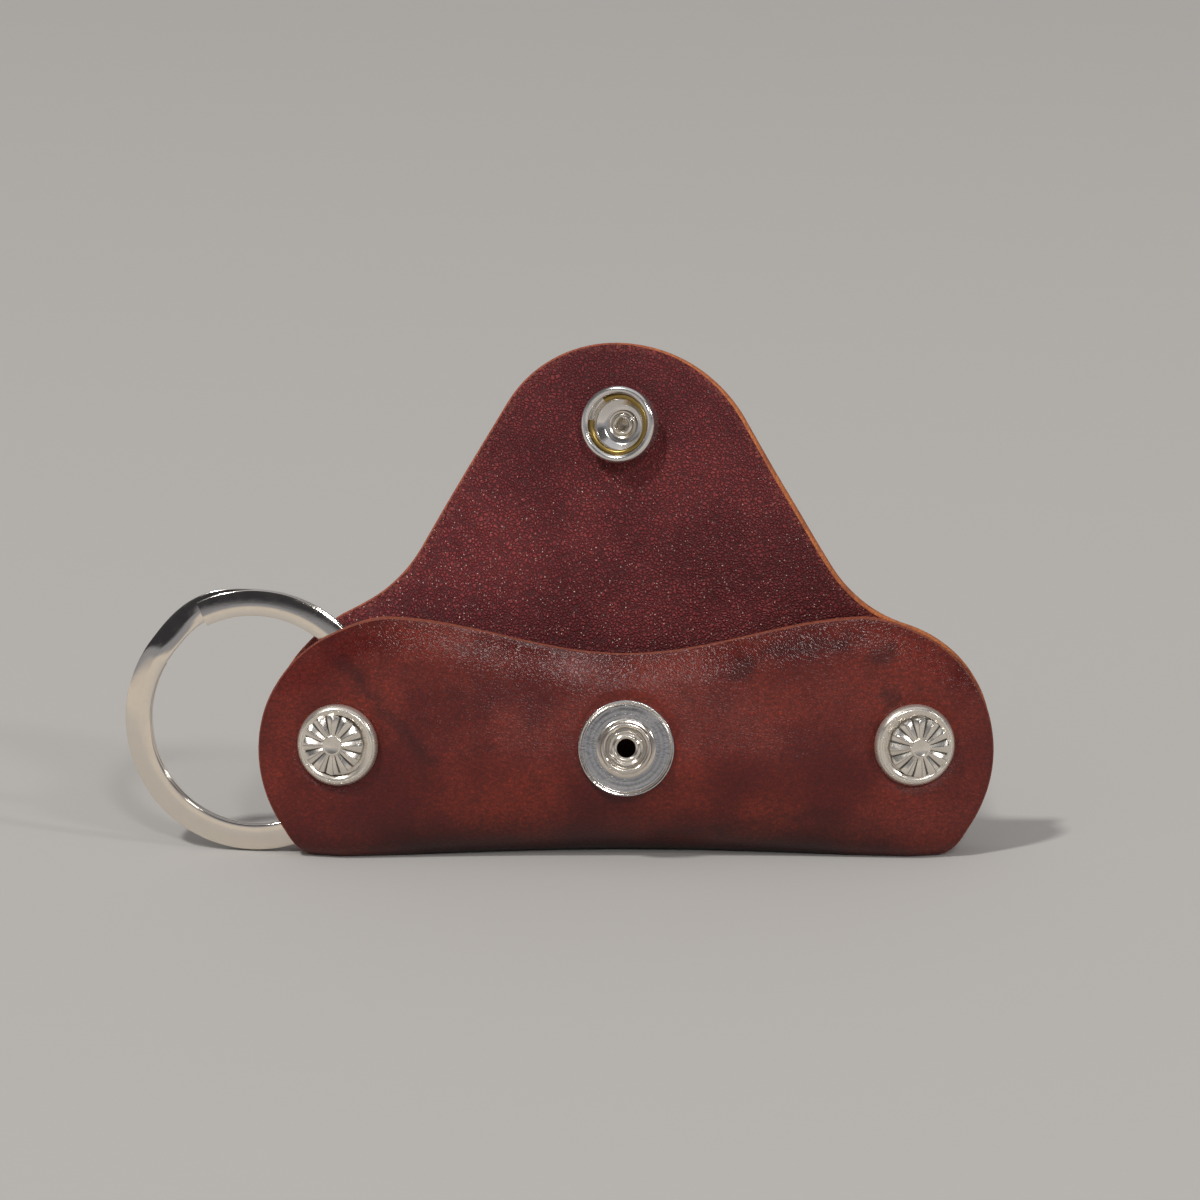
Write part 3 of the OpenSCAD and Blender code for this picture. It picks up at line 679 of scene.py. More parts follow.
def colour(*levels):
    """A colour as 0 to 255, to the linear values that Blender keeps."""
    return tuple((level / 255) ** 2.2 for level in levels) + (1.0,)


def bump(height, depth_mm, strength, **under):
    inputs = {"Height": height, "Distance": depth_mm * MM, "Strength": strength, **under}
    return flow("ShaderNodeBump", inputs)


print("finish helpers ready")

# %% Grain side
# Creases and stains that the photo shows, as start, end, width and strength on the flat map.
# The first is a crease; its dark line is painted shade, since the mesh has no crease there.
FRONT_MARKS = [
    ((13.1, 7.5), (25.3, 20.7), 1.7, 0.45), ((71.0, 5.6), (82.0, 4.8), 1.9, 0.45),
    ((67.6, 8.2), (68.2, 7.0), 2.2, 0.6), ((86.2, 7.2), (87.6, 6.2), 2.5, 0.55),
    ((87.6, 12.0), (88.2, 12.6), 2.3, 0.5), ((57.0, 29.0), (80.0, 27.5), 1.3, 0.25),
]
grain_leather, shader = finish("grain_leather")
place = flat_place()
spot = xyz(place)
grain = use(pebble, Place=place, Cell=0.46, Fine=0.9)
slow = mask(blotch, Place=place, Size=17.0, Low=0.36, High=0.64)
dark = mask(blotch, Place=place, Size=3.4, Low=0.5, High=0.72)
drawn = vec("MULTIPLY", place, (0.75, 1.15, 1.0))
mottle = mask(blotch, Place=drawn, Size=0.5, Low=0.38, High=0.62)
# The light dots are painted glints, small painted highlights on the grain.
painted_glint_dots = mask(painted_glint_group, Place=place, Apart=1.5, Share=0.07)
base = mixed(slow, colour(96, 28, 23), colour(133, 47, 32))
base = mixed(mottle * 0.45, base, colour(66, 19, 17))
base = mixed(dark * 0.3, base, colour(54, 20, 19))
base = mixed(grain["Valley"] * 0.42, base, colour(46, 15, 15))
marks = 0.0
for start, end, width, strength in FRONT_MARKS:
    mark = mask(stroke, Place=place, From=(*start, 0), To=(*end, 0), Width=width)
    marks = calc("MAXIMUM", marks, mark * strength)
base = mixed(marks, base, colour(38, 15, 17))
base = mixed(painted_glint_dots * 0.3, base, colour(170, 96, 80))
# Painted shade: the underside of the pouch, where the fold turns under, is darkened, most of all in the
# middle.
fold = between(spot["Y"], 25.0, 34.5) * between(spot["Y"], 42.0, 36.5)
off_middle = abs(spot["X"] - MAP_X)
base = mixed(fold * (between(off_middle, 45.0, 22.0) * 0.75 + 0.2), base, colour(22, 9, 9))
to_cut = value_of("to_edge")
base = mixed(ramp(to_cut, 1.6, 0.1) * 0.3, base, colour(60, 26, 22))
rubbed = between(to_cut, 8.0, 2.0) * between(spot["Y"], 16.0, 9.0)
fill(shader, {
    "Base Color": base, "Roughness": slow * 0.08 + 0.34 - rubbed * 0.15, "Specular IOR Level": 0.38,
    "Coat Weight": 0.06, "Coat Roughness": 0.24, "Normal": bump(grain["Height"], 0.03, 0.9)})
print("finish:", grain_leather.name)

# %% Flesh side
flesh_leather, shader = finish("flesh_leather")
place = flat_place()
grain = use(pebble, Place=place, Cell=0.45, Fine=1.2)
slow = mask(blotch, Place=place, Size=12.0, Low=0.35, High=0.68)
# Painted glints: tiny painted highlights on the pebbles, more of them low on the flap and under the socket.
lower = ramp(xyz(place)["Y"], 100.0, 74.0)
under_socket = mask(stroke, Place=place, From=(154.0, 86.0, 0), To=(160.0, 86.5, 0), Width=7.0)
share = calc("MAXIMUM", lower, under_socket) * 0.13 + 0.14
painted_glint_dots = mask(painted_glint_group, Place=place, Apart=0.31, Share=share)
base = mixed(slow, colour(118, 38, 42), colour(147, 56, 57))
base = mixed(grain["Valley"] * 0.82, base, colour(42, 13, 17))
tufts = mask(blotch, Place=place, Size=0.5, Low=0.45, High=0.6)
base = mixed(ramp(value_of("to_edge"), 1.5, 0.1) * tufts * 0.6, base, colour(150, 82, 70))
base = mixed(painted_glint_dots * 0.8, base, colour(236, 204, 188))
fill(shader, {
    "Base Color": base, "Roughness": grain["Valley"] * 0.15 + 0.5, "Specular IOR Level": 0.4,
    "Normal": bump(grain["Height"], 0.17, 0.9)})
print("finish:", flesh_leather.name)

# %% Cut edge
cut_edge, shader = finish("cut_edge")
depth = value_of("depth")
place = vec("ADD", flat_place(), only_z(depth))
spot = xyz(place)
fibres = mask(blotch, Place=place, Size=0.3, Low=0.3, High=0.7)
stained = mask(blotch, Place=place, Size=3.0, Low=0.4, High=0.7)
raw = mixed(fibres, colour(150, 78, 40), colour(200, 120, 66))
raw = mixed(stained * 0.6, raw, colour(124, 58, 34))
dyed = mixed(fibres, colour(112, 48, 34), colour(170, 90, 58))
base = mixed(ramp(spot["X"], 50.0, 62.0) * ramp(spot["Y"], 52.0, 64.0), dyed, raw)
base = mixed(between(depth, 0.3, 0.8) * 0.5, base, colour(84, 34, 26))
fill(shader, {"Base Color": base, "Roughness": fibres * 0.15 + 0.62, "Normal": bump(fibres, 0.06, 0.8)})
for material in (grain_leather, flesh_leather, cut_edge):
    sheet.materials.append(material)
print("the sheet has", len(sheet.materials), "finishes")

# %% [markdown]
# ## The sheet crosses the flap's hinge
# In CAD the leather is three solids with one hinge. Here one sheet stands in for all three. The line of the
# bend leans back so as to stay behind the front panel, and the highest share of the bend that the front panel
# reaches is printed.

# %% The line of the bend, and one sheet for the CAD leather
bend_low = Vector(((folded(0, 34.5) + CASE_AT) * MM).tolist())
bend_run = Vector((0.0018, 0.0090, 0.0135))
on_front = places[flats[:, 1] < 0]
front_share = ((on_front - np.array(bend_low)) @ np.array(bend_run)) / bend_run.length_squared
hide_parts("case_leather", "fold_strip", "flap_leather")
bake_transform(leather_sheet)
print("the bend's highest share on the front:", round(float(front_share.max()), 2), "so it keeps still")

# %% [markdown]
# ## Finishes of the metal
# Nickel is a mirror that handling has dulled, so on the caps and the snap a part of it scatters.
# Its colour hardly changes, so the roughness does the work: slow dull patches, fine scratches, and a slightly
# dark film in places. Turned pieces and discs carry their own place in millimetres as a point value, with z
# along their axis, so that the rings and ticks of the lathe, and the painted shade in the grooves between the
# petals and beside their ridges, run round them. The others read Object coordinates.

# %% Make a metal
PETALS, BUTTON_R = 12, 1.4


def metal(name, tint, roughness, dull=0.08, scratches=0.1, film=0.12, turned=0.0, pure=1.0, petals=0):
    material, shader = finish(name)
    place = vec("MULTIPLY", flow("ShaderNodeTexCoord", key="Object"), (1 / MM,) * 3)
    patches = mask(blotch, Place=place, Size=1.6, Low=0.38, High=0.66)
    marks = mask(scratch, Place=place, Turn=0.7)
    film_marks_and_shade = patches * film
    normal = bump(marks, 0.003, 0.5)
    if turned:
        cut = use(lathed, Place=value_of("own_place", "Vector"))
        film_marks_and_shade = film_marks_and_shade + cut["Rings"] * (0.3 * turned) + cut["Ticks"] * (0.25 * turned)
        normal = bump(cut["Rings"] + cut["Ticks"] * 0.6, 0.01 * turned, 0.8, Normal=normal)
    # Painted shade on the discs: the grooves between the petals, and a thin line on one side of each ridge,
    # are darkened.
    if petals:
        own = value_of("own_place", "Vector")
        spot = xyz(own)
        petal = calc("FRACT", calc("ARCTAN2", spot["Y"], spot["X"]) * (petals / (2 * math.pi)))
        groove_shade = between(abs(petal - 0.5), 0.13, 0.03)
        crease = between(abs(petal - 0.1), 0.06, 0.01)
        on_petal = between(vec("LENGTH", vec("MULTIPLY", own, FLAT)), BUTTON_R, BUTTON_R + 0.2)
        film_marks_and_shade = calc("MAXIMUM", film_marks_and_shade, calc("MAXIMUM", groove_shade, crease * 0.6) * on_petal)
    dark = 0.16 if petals else 0.5
    fill(shader, {
        "Base Color": mixed(film_marks_and_shade, tint, tuple(v * dark for v in tint[:3]) + (1.0,)),
        "Roughness": patches * dull + roughness + marks * scratches,
        "Metallic": pure, "Normal": normal})
    return material


cap_nickel = metal("cap_nickel", colour(232, 223, 210), 0.24, scratches=0.04, film=0.06, pure=0.8)
disc_nickel = metal("disc_nickel", colour(238, 230, 218), 0.2, pure=0.9, petals=PETALS)
snap_nickel = metal("snap_nickel", colour(226, 222, 218), 0.13, scratches=0.04, turned=1.0, pure=0.94)
rivet_steel = metal("rivet_steel", colour(228, 219, 206), 0.15, scratches=0.03, turned=0.25, pure=0.9)
socket_nickel = metal("socket_nickel", colour(232, 228, 223), 0.15, scratches=0.03, turned=0.2, pure=0.92)
spring_brass = metal("spring_brass", colour(164, 138, 80), 0.28)
ring_nickel = metal("ring_nickel", colour(240, 231, 218), 0.09, dull=0.03, scratches=0.04, film=0.04)
print("seven metals")

# %% Give their metals to the CAD pieces that stay in sight
in_sight = {
    "left_back_cap": cap_nickel, "right_back_cap": cap_nickel, "left_post": rivet_steel,
    "right_post": rivet_steel, "socket_spring": spring_brass,
}
for name, material in in_sight.items():
    for material_slot in frame["nodes"][name].material_slots:
        material_slot.material = material
print("finished", len(in_sight), "CAD pieces")

# %% [markdown]
# ## Fluted discs
# The discs in the caps are pressed with twelve petals round a plain button. A petal is the same
# wedge twelve times, so Geometry Nodes make one wedge from a grid, by a rule for its radius and
# its height, and then set twelve of them round the middle.


# %% Helpers for trees that make a shape
def shape_tree(name, sizes):
    """Opens a geometry tree with named inputs, and gives it and its inputs."""
    tree = open_up(bpy.data.node_groups.new(name, "GeometryNodeTree"))
    for label, value in sizes.items():
        kind = "NodeSocket" + type(value).__name__.capitalize()
        tree.interface.new_socket(label, in_out="INPUT", socket_type=kind)
    tree.interface.new_socket("Geometry", in_out="OUTPUT", socket_type="NodeSocketGeometry")
    return tree, flows(add("NodeGroupInput"))


def put_out(geometry, smooth):
    """Ends the open tree with its shading and its finish."""
    shaded = flow("GeometryNodeSetShadeSmooth", {"Geometry": geometry, "Shade Smooth": smooth})
    done = flow("GeometryNodeSetMaterial", {"Geometry": shaded, "Material": given["Finish"]})
    add("NodeGroupOutput", {0: done})


def grown(tree, sizes):
    """The plain mesh that a tree makes with these inputs."""
    carrier = shown("carrier", bpy.data.meshes.new(tree.name))
    modifier = carrier.modifiers.new("rule", "NODES")
    modifier.node_group = tree
    for item in tree.interface.items_tree:
        if item.name in sizes:
            modifier[item.identifier] = sizes[item.name]
    graph = bpy.context.evaluated_depsgraph_get()
    mesh = bpy.data.meshes.new_from_object(carrier.evaluated_get(graph))
    bpy.data.objects.remove(carrier)
    mesh.name = tree.name
    return mesh


print("shape helpers ready")

# %% Tree of the fluted disc
disc_sizes = {
    "Petals": PETALS, "Button radius": BUTTON_R * MM, "Edge radius": 4.1 * MM, "Edge thickness": 0.55 * MM,
    "Rise": 0.42 * MM, "Petal height": 0.46 * MM, "Notch share": 0.055, "Finish": disc_nickel,
}
disc_tree, given = shape_tree("fluted_disc", disc_sizes)
COLS, ROWS = 13, 25
wedge = flow("GeometryNodeMeshGrid", {"Size X": 1.0, "Size Y": 1.0, "Vertices X": COLS, "Vertices Y": ROWS})
spot = xyz(flow("GeometryNodeInputPosition"))
# The rows of the grid run over the hub, out along the petal, down its edge and back underneath.
STRETCHES = (0.0, 3 / 24, 17 / 24, 20 / 24, 1.0)
along = spot["Y"] + 0.5
hub, out, down, under = (ramp(along, a, c) for a, c in zip(STRETCHES, STRETCHES[1:]))
ridge = 1.0 - abs(spot["X"]) * 2.0
crest = calc("MINIMUM", ridge * 1.12, 1.0)
notch = out * given["Notch share"] * (1.0 - calc("SQRT", ridge))
petal_long = given["Edge radius"] - given["Button radius"]
radius = (out * petal_long + hub * given["Button radius"]) * (1.0 - notch) * (1.0 - under)
lift = (out * 0.55 + 0.45) * (1.0 - out**8.0 * 0.45) * hub * crest * given["Petal height"]
dome = given["Rise"] * (1.0 - out * out)
height = (given["Edge thickness"] + dome + lift) * (1.0 - down)
step = 2 * math.pi / given["Petals"]
shaped = flow("GeometryNodeSetPosition", {
    "Geometry": wedge, "Position": polar(radius, spot["X"] * step, height)})
spots = flow("GeometryNodeMeshLine", {"Count": given["Petals"], "Offset": (0.0, 0.0, 0.0)})
turn = only_z(flow("GeometryNodeInputIndex") * step)
petals = flow("GeometryNodeInstanceOnPoints", {"Points": spots, "Instance": shaped, "Rotation": turn})
real = flow("GeometryNodeRealizeInstances", {"Geometry": petals})
closed = flow("GeometryNodeMergeByDistance", {"Geometry": real, "Distance": 0.002 * MM})
put_out(closed, smooth=False)
print("tree:", disc_tree.name, "with", len(disc_tree.nodes), "nodes")


# %% Turned shapes
def lathe(profile, steps=96):
    """Points and triangles of a half section turned round z. It is a closed loop, or ends on the axis."""
    profile = np.array(profile) * MM
    solid = profile[0, 0] == 0
    a = np.linspace(0, 2 * math.pi, steps, endpoint=False)
    body = profile[1:-1] if solid else profile
    points = np.stack([np.outer(body[:, 0], np.cos(a)), np.outer(body[:, 0], np.sin(a)),
                       np.repeat(body[:, 1:2], steps, 1)], -1).reshape(-1, 3)
    tris = []
    k = np.arange(steps)
    k2 = (k + 1) % steps
    for j in range(len(body) - solid):
        lo, hi = j * steps, (j + 1) % len(body) * steps
        tris += [np.column_stack([lo + k, lo + k2, hi + k2]), np.column_stack([lo + k, hi + k2, hi + k])]
    if solid:
        first, end = len(points), (len(body) - 1) * steps
        points = np.vstack([points, [[0, 0, profile[0, 1]]], [[0, 0, profile[-1, 1]]]])
        tris += [np.column_stack([np.full(steps, first), k2, k]),
                 np.column_stack([np.full(steps, first + 1), end + k, end + k2])]
    return points, np.vstack(tris)


print("lathe ready")


# %% What every mesh needs
def points_of(mesh):
    co = np.zeros(len(mesh.vertices) * 3)
    mesh.vertices.foreach_get("co", co)
    return co


def turned_out(mesh):
    """Flips a closed mesh if its faces point inwards, and gives its volume in cubic millimetres."""
    mesh.calc_loop_triangles()
    tri = np.zeros(len(mesh.loop_triangles) * 3, int)
    mesh.loop_triangles.foreach_get("vertices", tri)
    v = points_of(mesh).reshape(-1, 3)[tri.reshape(-1, 3)]
    volume = float(np.sum(np.einsum("ij,ij->i", v[:, 0], np.cross(v[:, 1], v[:, 2])))) / 6
    if volume < 0:
        mesh.flip_normals()
    return abs(volume) / MM**3


def own_places(mesh):
    """Keeps the points of a mesh, in millimetres, as a value that the metals read."""
    kept = mesh.attributes.new("own_place", "FLOAT_VECTOR", "POINT")
    kept.data.foreach_set("vector", points_of(mesh) / MM)


def dress(name, mesh, place, body, node, material, slot_name):
    """Puts a mesh in its place and shows it instead of a node."""
    mesh.transform(place)
    mesh.materials.append(material)
    piece = shown(name, mesh)
    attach(piece, body)
    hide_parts(node)


disc_mesh = grown(disc_tree, disc_sizes)
print("petals:", len(disc_mesh.polygons), "faces,", round(turned_out(disc_mesh), 1), "cubic mm")

# %% Disc with its button
BUTTON_TOP, BUTTON_LOW, SOFT = 1.36, 0.1, 0.24
shoulder = arc(np.array([BUTTON_R - SOFT, BUTTON_TOP - SOFT]), SOFT, 0, math.pi / 2, 7)
button_profile = [
    (0, BUTTON_LOW), (BUTTON_R, BUTTON_LOW), *shoulder,
    (BUTTON_R - 0.32, BUTTON_TOP), (BUTTON_R - 0.4, BUTTON_TOP - 0.05), (0, BUTTON_TOP - 0.06)]
button_mesh = mesh_of("button", *lathe(button_profile, 64))
print("button:", len(button_mesh.polygons), "triangles,", round(turned_out(button_mesh), 2), "cubic mm")
joined = bmesh.new()
for mesh in (disc_mesh, button_mesh):
    joined.from_mesh(mesh)
for face in joined.faces:
    face.material_index = 0
whole_disc = bpy.data.meshes.new("whole_disc")
joined.to_mesh(whole_disc)
joined.free()
own_places(whole_disc)
print("one disc:", len(whole_disc.polygons), "faces")

# %% Set the three discs in their caps
# In the photo the discs at the ends sit a little off the middle of their caps.
CAP_FLOOR = 0.8
for side, seat_of, off_x, off_y, body in (
    ("left", left_seat, -0.42, 0.14, "case"),
    ("right", right_seat, 0.46, -0.24, "case"),
    ("flap", flap_seat, 0.0, 0.0, "flap"),
):
    name = side + "_fluted_disc"
    at = seat_of @ Matrix.Translation(Vector((off_x, off_y, CAP_FLOOR)) * MM)
    mesh = whole_disc.copy()
    mesh.name = name
    dress(name, mesh, at, body, side + "_rosette", disc_nickel, "disc_nickel")
    print(name, "with", len(mesh.polygons), "faces")

# %% [markdown]
# ## Turned pieces
# The rims of the caps, the washer, the stud, the eyelet, the socket and its rivet are all turned
# round an axis. Each is a half section of corners, and each corner has its own soft rounding, so a
# thin line of light runs along every edge.


# %% Round the corners of a half section
def softened(corners, curve=4):
    """Half section from (radius, height, rounding) corners; the loop closes on itself."""
    corners = np.array(corners, float)
    points = []
    for k, (r, z, w) in enumerate(corners):
        here = np.array([r, z])
        ways = [other[:2] - here for other in (corners[k - 1], corners[(k + 1) % len(corners)])]
        before, after = (way / np.linalg.norm(way) for way in ways)
        a, c = here + before * w, here + after * w
        points.append(here + before * w * 1.25)
        for f in np.linspace(0, 1, curve + 1):
            points.append((1 - f) ** 2 * a + 2 * f * (1 - f) * here + f * f * c)
        points.append(here + after * w * 1.25)
    return points


print("corner rounding ready")

# %% Half sections
RIM = [
    (1.45, 0, 0.03), (5.45, 0, 0.06), (5.6, 0.2, 0.1), (5.55, 0.75, 0.22), (5.3, 1.25, 0.22),
    (4.95, 1.5, 0.16), (4.6, 1.46, 0.14), (4.2, 1.24, 0.05), (4.17, 0.4, 0.1), (1.45, 0.4, 0.03)]
WASHER = [
    (1.7, 0, 0.03), (6.4, 0, 0.04), (6.5, 0.15, 0.05), (6.5, 0.5, 0.06), (6.38, 0.6, 0.06),
    (6.16, 0.55, 0.07), (6.0, 0.4, 0.08), (4.9, 0.42, 0.2), (1.7, 0.4, 0.03)]
STUD = [
    (1.7, 0.4, 0.02), (4.0, 0.4, 0.04), (4.02, 0.78, 0.08), (3.8, 0.9, 0.08), (3.2, 1.0, 0.12),
    (3.1, 1.9, 0.12), (3.5, 2.05, 0.1), (3.55, 2.5, 0.15), (3.3, 2.9, 0.15), (2.95, 2.9, 0.12),
    (2.75, 2.6, 0.1), (2.7, 2.2, 0.05), (1.7, 2.2, 0.03)]
EYELET = [
    (1.25, -1.76, 0.06), (3.6, -1.76, 0.1), (3.6, -1.36, 0.06), (1.65, -1.36, 0.03),
    (1.65, 2.2, 0.03), (2.35, 2.2, 0.05), (2.45, 2.5, 0.1), (2.25, 2.74, 0.1), (1.95, 2.5, 0.1),
    (1.6, 2.72, 0.12), (1.25, 2.45, 0.12)]
SOCKET = [
    (1.45, 0, 0.03), (4.95, 0, 0.06), (5.0, 0.3, 0.08), (5.0, 2.6, 0.1), (5.25, 2.8, 0.08),
    (5.25, 3.2, 0.15), (4.95, 3.5, 0.16), (4.55, 3.5, 0.14), (4.25, 3.25, 0.1), (4.22, 3.08, 0.04),
    (4.41, 3.06, 0.03), (4.41, 2.1, 0.03), (4.0, 2.06, 0.05), (3.6, 1.3, 0.2), (2.6, 0.6, 0.2),
    (1.45, 0.5, 0.03)]
TIP = [
    (0.8, -2.16, 0.03), (2.6, -2.16, 0.05), (2.6, -1.76, 0.05), (1.4, -1.76, 0.03), (1.4, 0.5, 0.03),
    (1.95, 0.5, 0.04), (2.05, 0.72, 0.08), (1.9, 0.94, 0.08), (1.62, 0.8, 0.08), (1.45, 1.0, 0.08),
    (1.1, 1.1, 0.1), (0.8, 0.85, 0.1)]
print("half sections with", [len(part) for part in (RIM, WASHER, STUD, EYELET, SOCKET, TIP)], "corners")

# %% Turn them
for name, corners, *row in (
    ("left_cap_rim", RIM, left_seat, "case", "left_bezel", cap_nickel, "cap_nickel"),
    ("right_cap_rim", RIM, right_seat, "case", "right_bezel", cap_nickel, "cap_nickel"),
    ("flap_cap_rim", RIM, flap_seat, "flap", "flap_bezel", cap_nickel, "cap_nickel"),
    ("turned_washer", WASHER, stud_seat, "case", "stud_washer", snap_nickel, "snap_nickel"),
    ("turned_stud", STUD, stud_seat, "case", "snap_stud", rivet_steel, "snap_nickel"),
    ("rolled_eyelet", EYELET, stud_seat, "case", "stud_eyelet", rivet_steel, "snap_nickel"),
    ("turned_socket", SOCKET, socket_seat, "flap", "snap_socket", socket_nickel, "snap_nickel"),
    ("rolled_tip", TIP, socket_seat, "flap", "socket_post", rivet_steel, "rivet_steel"),
):
    mesh = mesh_of(name, *lathe(softened(corners)))
    own_places(mesh)
    print(name, "with", len(mesh.polygons), "triangles,", round(turned_out(mesh), 1), "cubic mm")
    dress(name, mesh, *row)

# %% [markdown]
# ## The key ring
# A split ring is one flat wire wound nearly twice. The tree bends a straight curve into that path,
# lets it duck from the front layer to the back one, where the wire is ground thinner, and sweeps a
# section along it that is flat on its inner half and slopes away on its outer half.

# %% Tree of the split ring
RING_R = 17.9
ring_sizes = {
    "Outer radius": RING_R * MM, "Wire width": 3.5 * MM, "Wire thickness": 1.0 * MM, "Gap": 0.04 * MM,
    "Flat share": 0.4, "Front end": math.radians(117), "Change": math.radians(32), "Taper": 0.36,
    "Steps": 420, "Finish": ring_nickel,
}
ring_tree, given = shape_tree("split_ring", ring_sizes)
line = flow("GeometryNodeCurvePrimitiveLine")
steps = flow("GeometryNodeResampleCurve", {"Curve": line, "Count": given["Steps"]}, mode="COUNT")
share = flow("GeometryNodeInputIndex") / (given["Steps"] - 1.0)
wound = share * (4 * math.pi - given["Change"])
ducked = (wound - (2 * math.pi - given["Change"])) / given["Change"]
taper = calc("MINIMUM", between(ducked, 0.15, 1.0), between(ducked, 1.9, 1.1))
wire = 1.0 - taper * given["Taper"]
layer = (given["Wire thickness"] + given["Gap"]) * (0.5 - between(ducked, 0.0, 1.0))
middle = given["Outer radius"] - given["Wire width"] * wire * 0.5
bent = flow("GeometryNodeSetPosition", {
    "Geometry": steps, "Position": polar(middle, given["Front end"] - wound, layer)})
upright = flow("GeometryNodeSetCurveNormal", {"Curve": bent}, mode="Z_UP")
path = flow("GeometryNodeSetCurveRadius", {"Curve": upright, "Radius": wire})
section = flow("GeometryNodeCurvePrimitiveCircle", {"Resolution": 40, "Radius": 1.0}, mode="RADIUS")
spot = xyz(flow("GeometryNodeInputPosition"))
half_wide = given["Wire width"] * 0.5
flat_end = given["Wire width"] * (given["Flat share"] - 0.5)
is_outer = calc("GREATER_THAN", spot["X"], 0.0)
outer_x = spot["X"] * (half_wide - flat_end) + flat_end
inner_x = flat_end - abs(spot["X"]) ** 0.62 * (half_wide + flat_end)
section_x = is_outer * outer_x + (1.0 - is_outer) * inner_x
tall = is_outer * (1.0 - spot["X"]) ** 0.6 + (1.0 - is_outer) * abs(spot["Y"]) ** 0.18
section_y = calc("SIGN", spot["Y"]) * tall * (given["Wire thickness"] * 0.5)
to = flow("ShaderNodeCombineXYZ", {"X": section_x * -1.0, "Y": section_y})
shaped = flow("GeometryNodeSetPosition", {"Geometry": section, "Position": to})
swept = flow("GeometryNodeCurveToMesh", {"Curve": path, "Profile Curve": shaped, "Fill Caps": True})
put_out(swept, smooth=True)
ring_mesh = grown(ring_tree, ring_sizes)
print("ring:", len(ring_mesh.polygons), "faces,", round(turned_out(ring_mesh), 1), "cubic mm")

# %% Place the ring on the left rivet
RING_DEPTH, RING_HANG, TABLE_GAP = 1.02, 12.4, 0.02
left_across, left_up, left_out, left_mid = np.array(left_seat)[:3].T
rivet_out = outward(RIVET_X, -RIVET_UP)
rivet_span = (GAP + THICK) * abs(rivet_out[1]) + THICK - 2 * SINK
ring_out = left_out + 0.06 * left_across + 0.02 * left_up
ring_out /= np.linalg.norm(ring_out)
ring_mid = left_mid / MM - CASE_AT - left_out * rivet_span / 2 - ring_out * 0.5
ring_frame = facing(ring_out, ring_mid)
up_share = np.array(ring_frame)[2, 1]
lift = (TABLE_GAP + RING_R * up_share + RING_DEPTH * ring_out[2] - ring_mid[2]) / up_share
ring_mesh.transform(ring_frame @ Matrix.Translation(Vector((-RING_HANG, lift, 0)) * MM))
key_ring = shown("split_key_ring", ring_mesh)
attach(key_ring, "ring")
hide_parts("key_ring")
ring_co = points_of(ring_mesh).reshape(-1, 3)
print("ring box:", (ring_co.min(0) / MM).round(2), (ring_co.max(0) / MM).round(2))

# %% [markdown]
# ## Table, light and camera
# A plain pale table runs out of sight, and the world behind it has the same grey. The key lamp
# stands far off at the left, in front and above, as the shadows say, so its light is even. Polished
# metal shows what stands round it, so reflected rays see a studio that is light near the ground and
# dark above, and all other rays see an even grey.

# %% Table
PALE = colour(176, 172, 168)
TABLE_HALF = 4.0
table_corners = TABLE_HALF * np.array([[-1, -1, 0], [1, -1, 0], [1, 1, 0], [-1, 1, 0]])
table = shown("table", mesh_of("table", table_corners, np.array([[0, 1, 2], [0, 2, 3]]), False))
table_top, shader = finish("table_top")
fill(shader, {"Base Color": PALE, "Roughness": 0.9})
table.data.materials.append(table_top)
table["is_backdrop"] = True
print("a table", 2 * TABLE_HALF, "m wide")

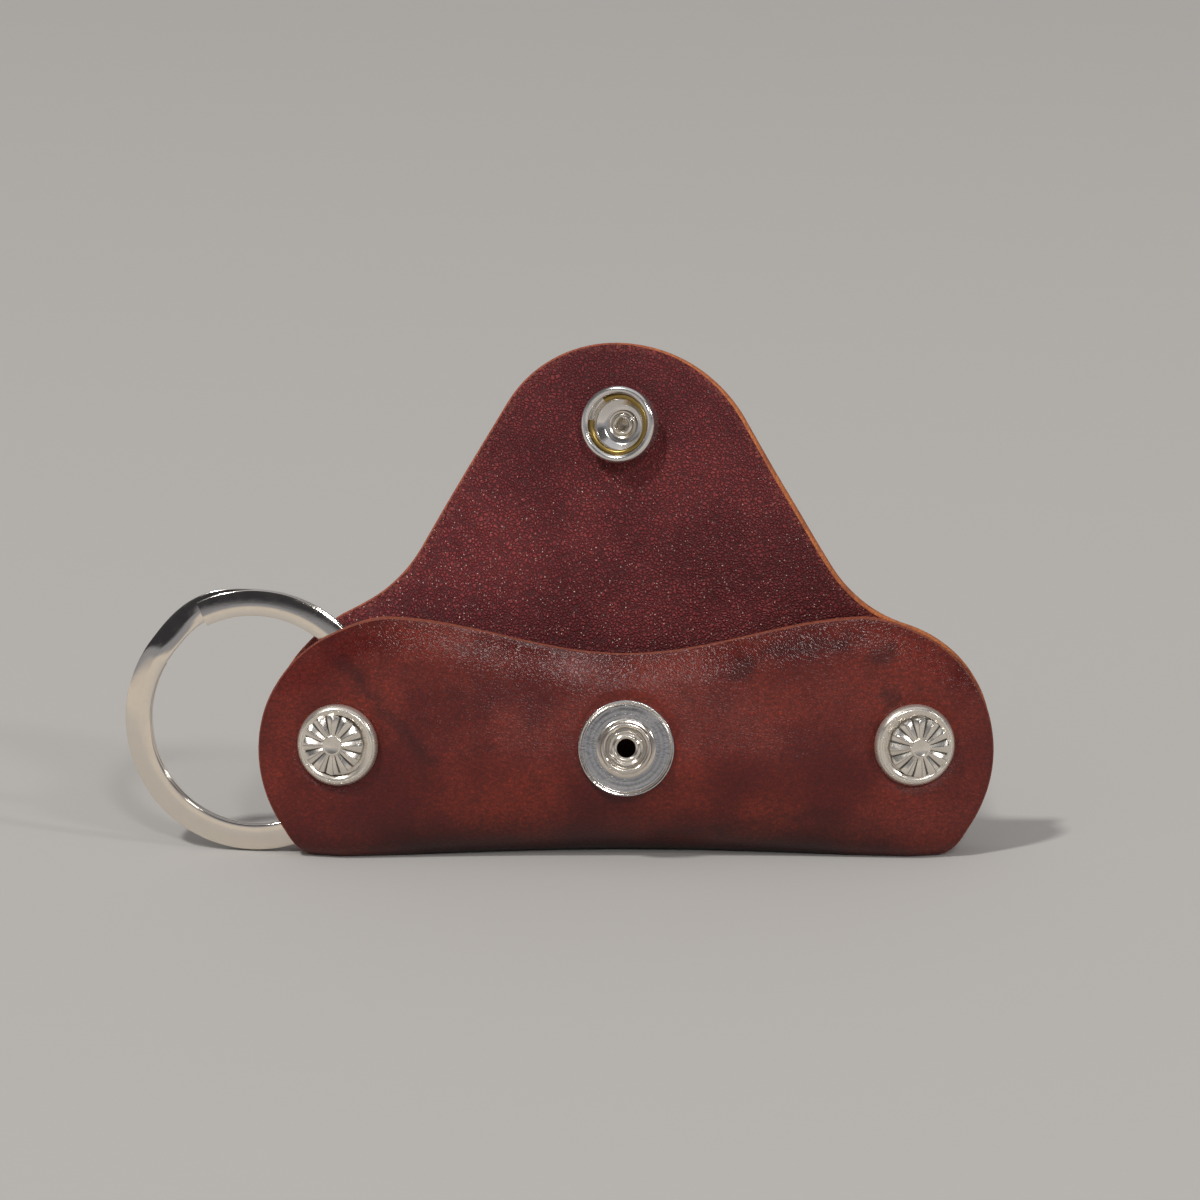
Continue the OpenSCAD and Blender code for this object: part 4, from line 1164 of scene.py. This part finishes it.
# %% World
world = bpy.data.worlds.new("studio")
bpy.context.scene.world = world
world.use_nodes = True
open_up(world.node_tree)
even_light = fill(open_tree.nodes["Background"], {"Color": (0.98, 0.99, 1.0, 1), "Strength": 0.45})
seen = flow("ShaderNodeBackground", {"Color": PALE, "Strength": 1.0})
way_up = xyz(flow("ShaderNodeTexCoord", key="Generated"))["Z"]
studio = mixed(between(way_up, 0.09, 0.19), (0.6, 0.55, 0.5, 1), (0.26, 0.27, 0.3, 1))
studio = mixed(between(way_up, 0.28, 0.36), studio, (0.03, 0.03, 0.035, 1))
studio = mixed(between(way_up, 0.78, 0.86), studio, (0.5, 0.51, 0.55, 1))
mirrored = flow("ShaderNodeBackground", {"Color": studio, "Strength": 1.0})
ray = flows(add("ShaderNodeLightPath"))
lit = flow("ShaderNodeMixShader", {0: ray["Is Glossy Ray"], 1: flows(even_light)["Background"], 2: mirrored})
choice = flow("ShaderNodeMixShader", {0: ray["Is Camera Ray"], 1: lit, 2: seen})
fill(open_tree.nodes["World Output"], {0: choice})
print("world:", world.name)


# %% Lamps
def aim(thing, at, target):
    """Sets a lamp or camera at a place, looking at a target."""
    thing.location = at
    thing.rotation_euler = (Vector(target) - Vector(at)).to_track_quat("-Z", "Y").to_euler()


def lamp(name, at, power, size, tint):
    data = bpy.data.lights.new(name, "AREA")
    data.shape, data.size, data.energy, data.color = "DISK", size, power, tint
    aim(shown(name, data), at, (0.0, 0.0, 0.03))


lamp("key", (-2.8, -2.08, 5.09), 190.0, 0.6, (1.0, 0.99, 0.97))
lamp("sheen", (0.5, -2.6, 1.98), 21.0, 0.4, (1.0, 0.99, 0.98))
lamp("right", (2.6, -1.3, 1.9), 14.0, 0.3, (0.98, 0.99, 1.0))

# %% Camera
CAMERA_AIM = Vector((5.758, -6.7, 35.751)) * MM
CAMERA_UP, CAMERA_FAR, LENS = math.radians(14.092), 0.650, 144.26
camera = shown("camera", bpy.data.cameras.new("camera"))
camera.data.lens = LENS
camera.data.sensor_width = 36
camera.data.clip_start, camera.data.clip_end = 0.01, 20
away = Vector((0, -math.cos(CAMERA_UP), math.sin(CAMERA_UP)))
aim(camera, CAMERA_AIM + CAMERA_FAR * away, CAMERA_AIM)
bpy.context.scene.camera = camera
bpy.context.scene.view_settings.view_transform = "Standard"
print("camera at", [round(c / MM) for c in camera.location], "mm")

# %% [markdown]
# ## Both boxes, of the CAD model and of the dressed model, are printed side by side.
# The dressed model has to stay in the CAD model's box, so both boxes are written down and compared.

# %% Write the sizes and finish
low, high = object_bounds()
for word, a, c in (("low", cad_low, low), ("high", cad_high, high)):
    print(word, "corner, CAD and dressed:", [round(v * 1000, 2) for v in a], [round(v * 1000, 2) for v in c])
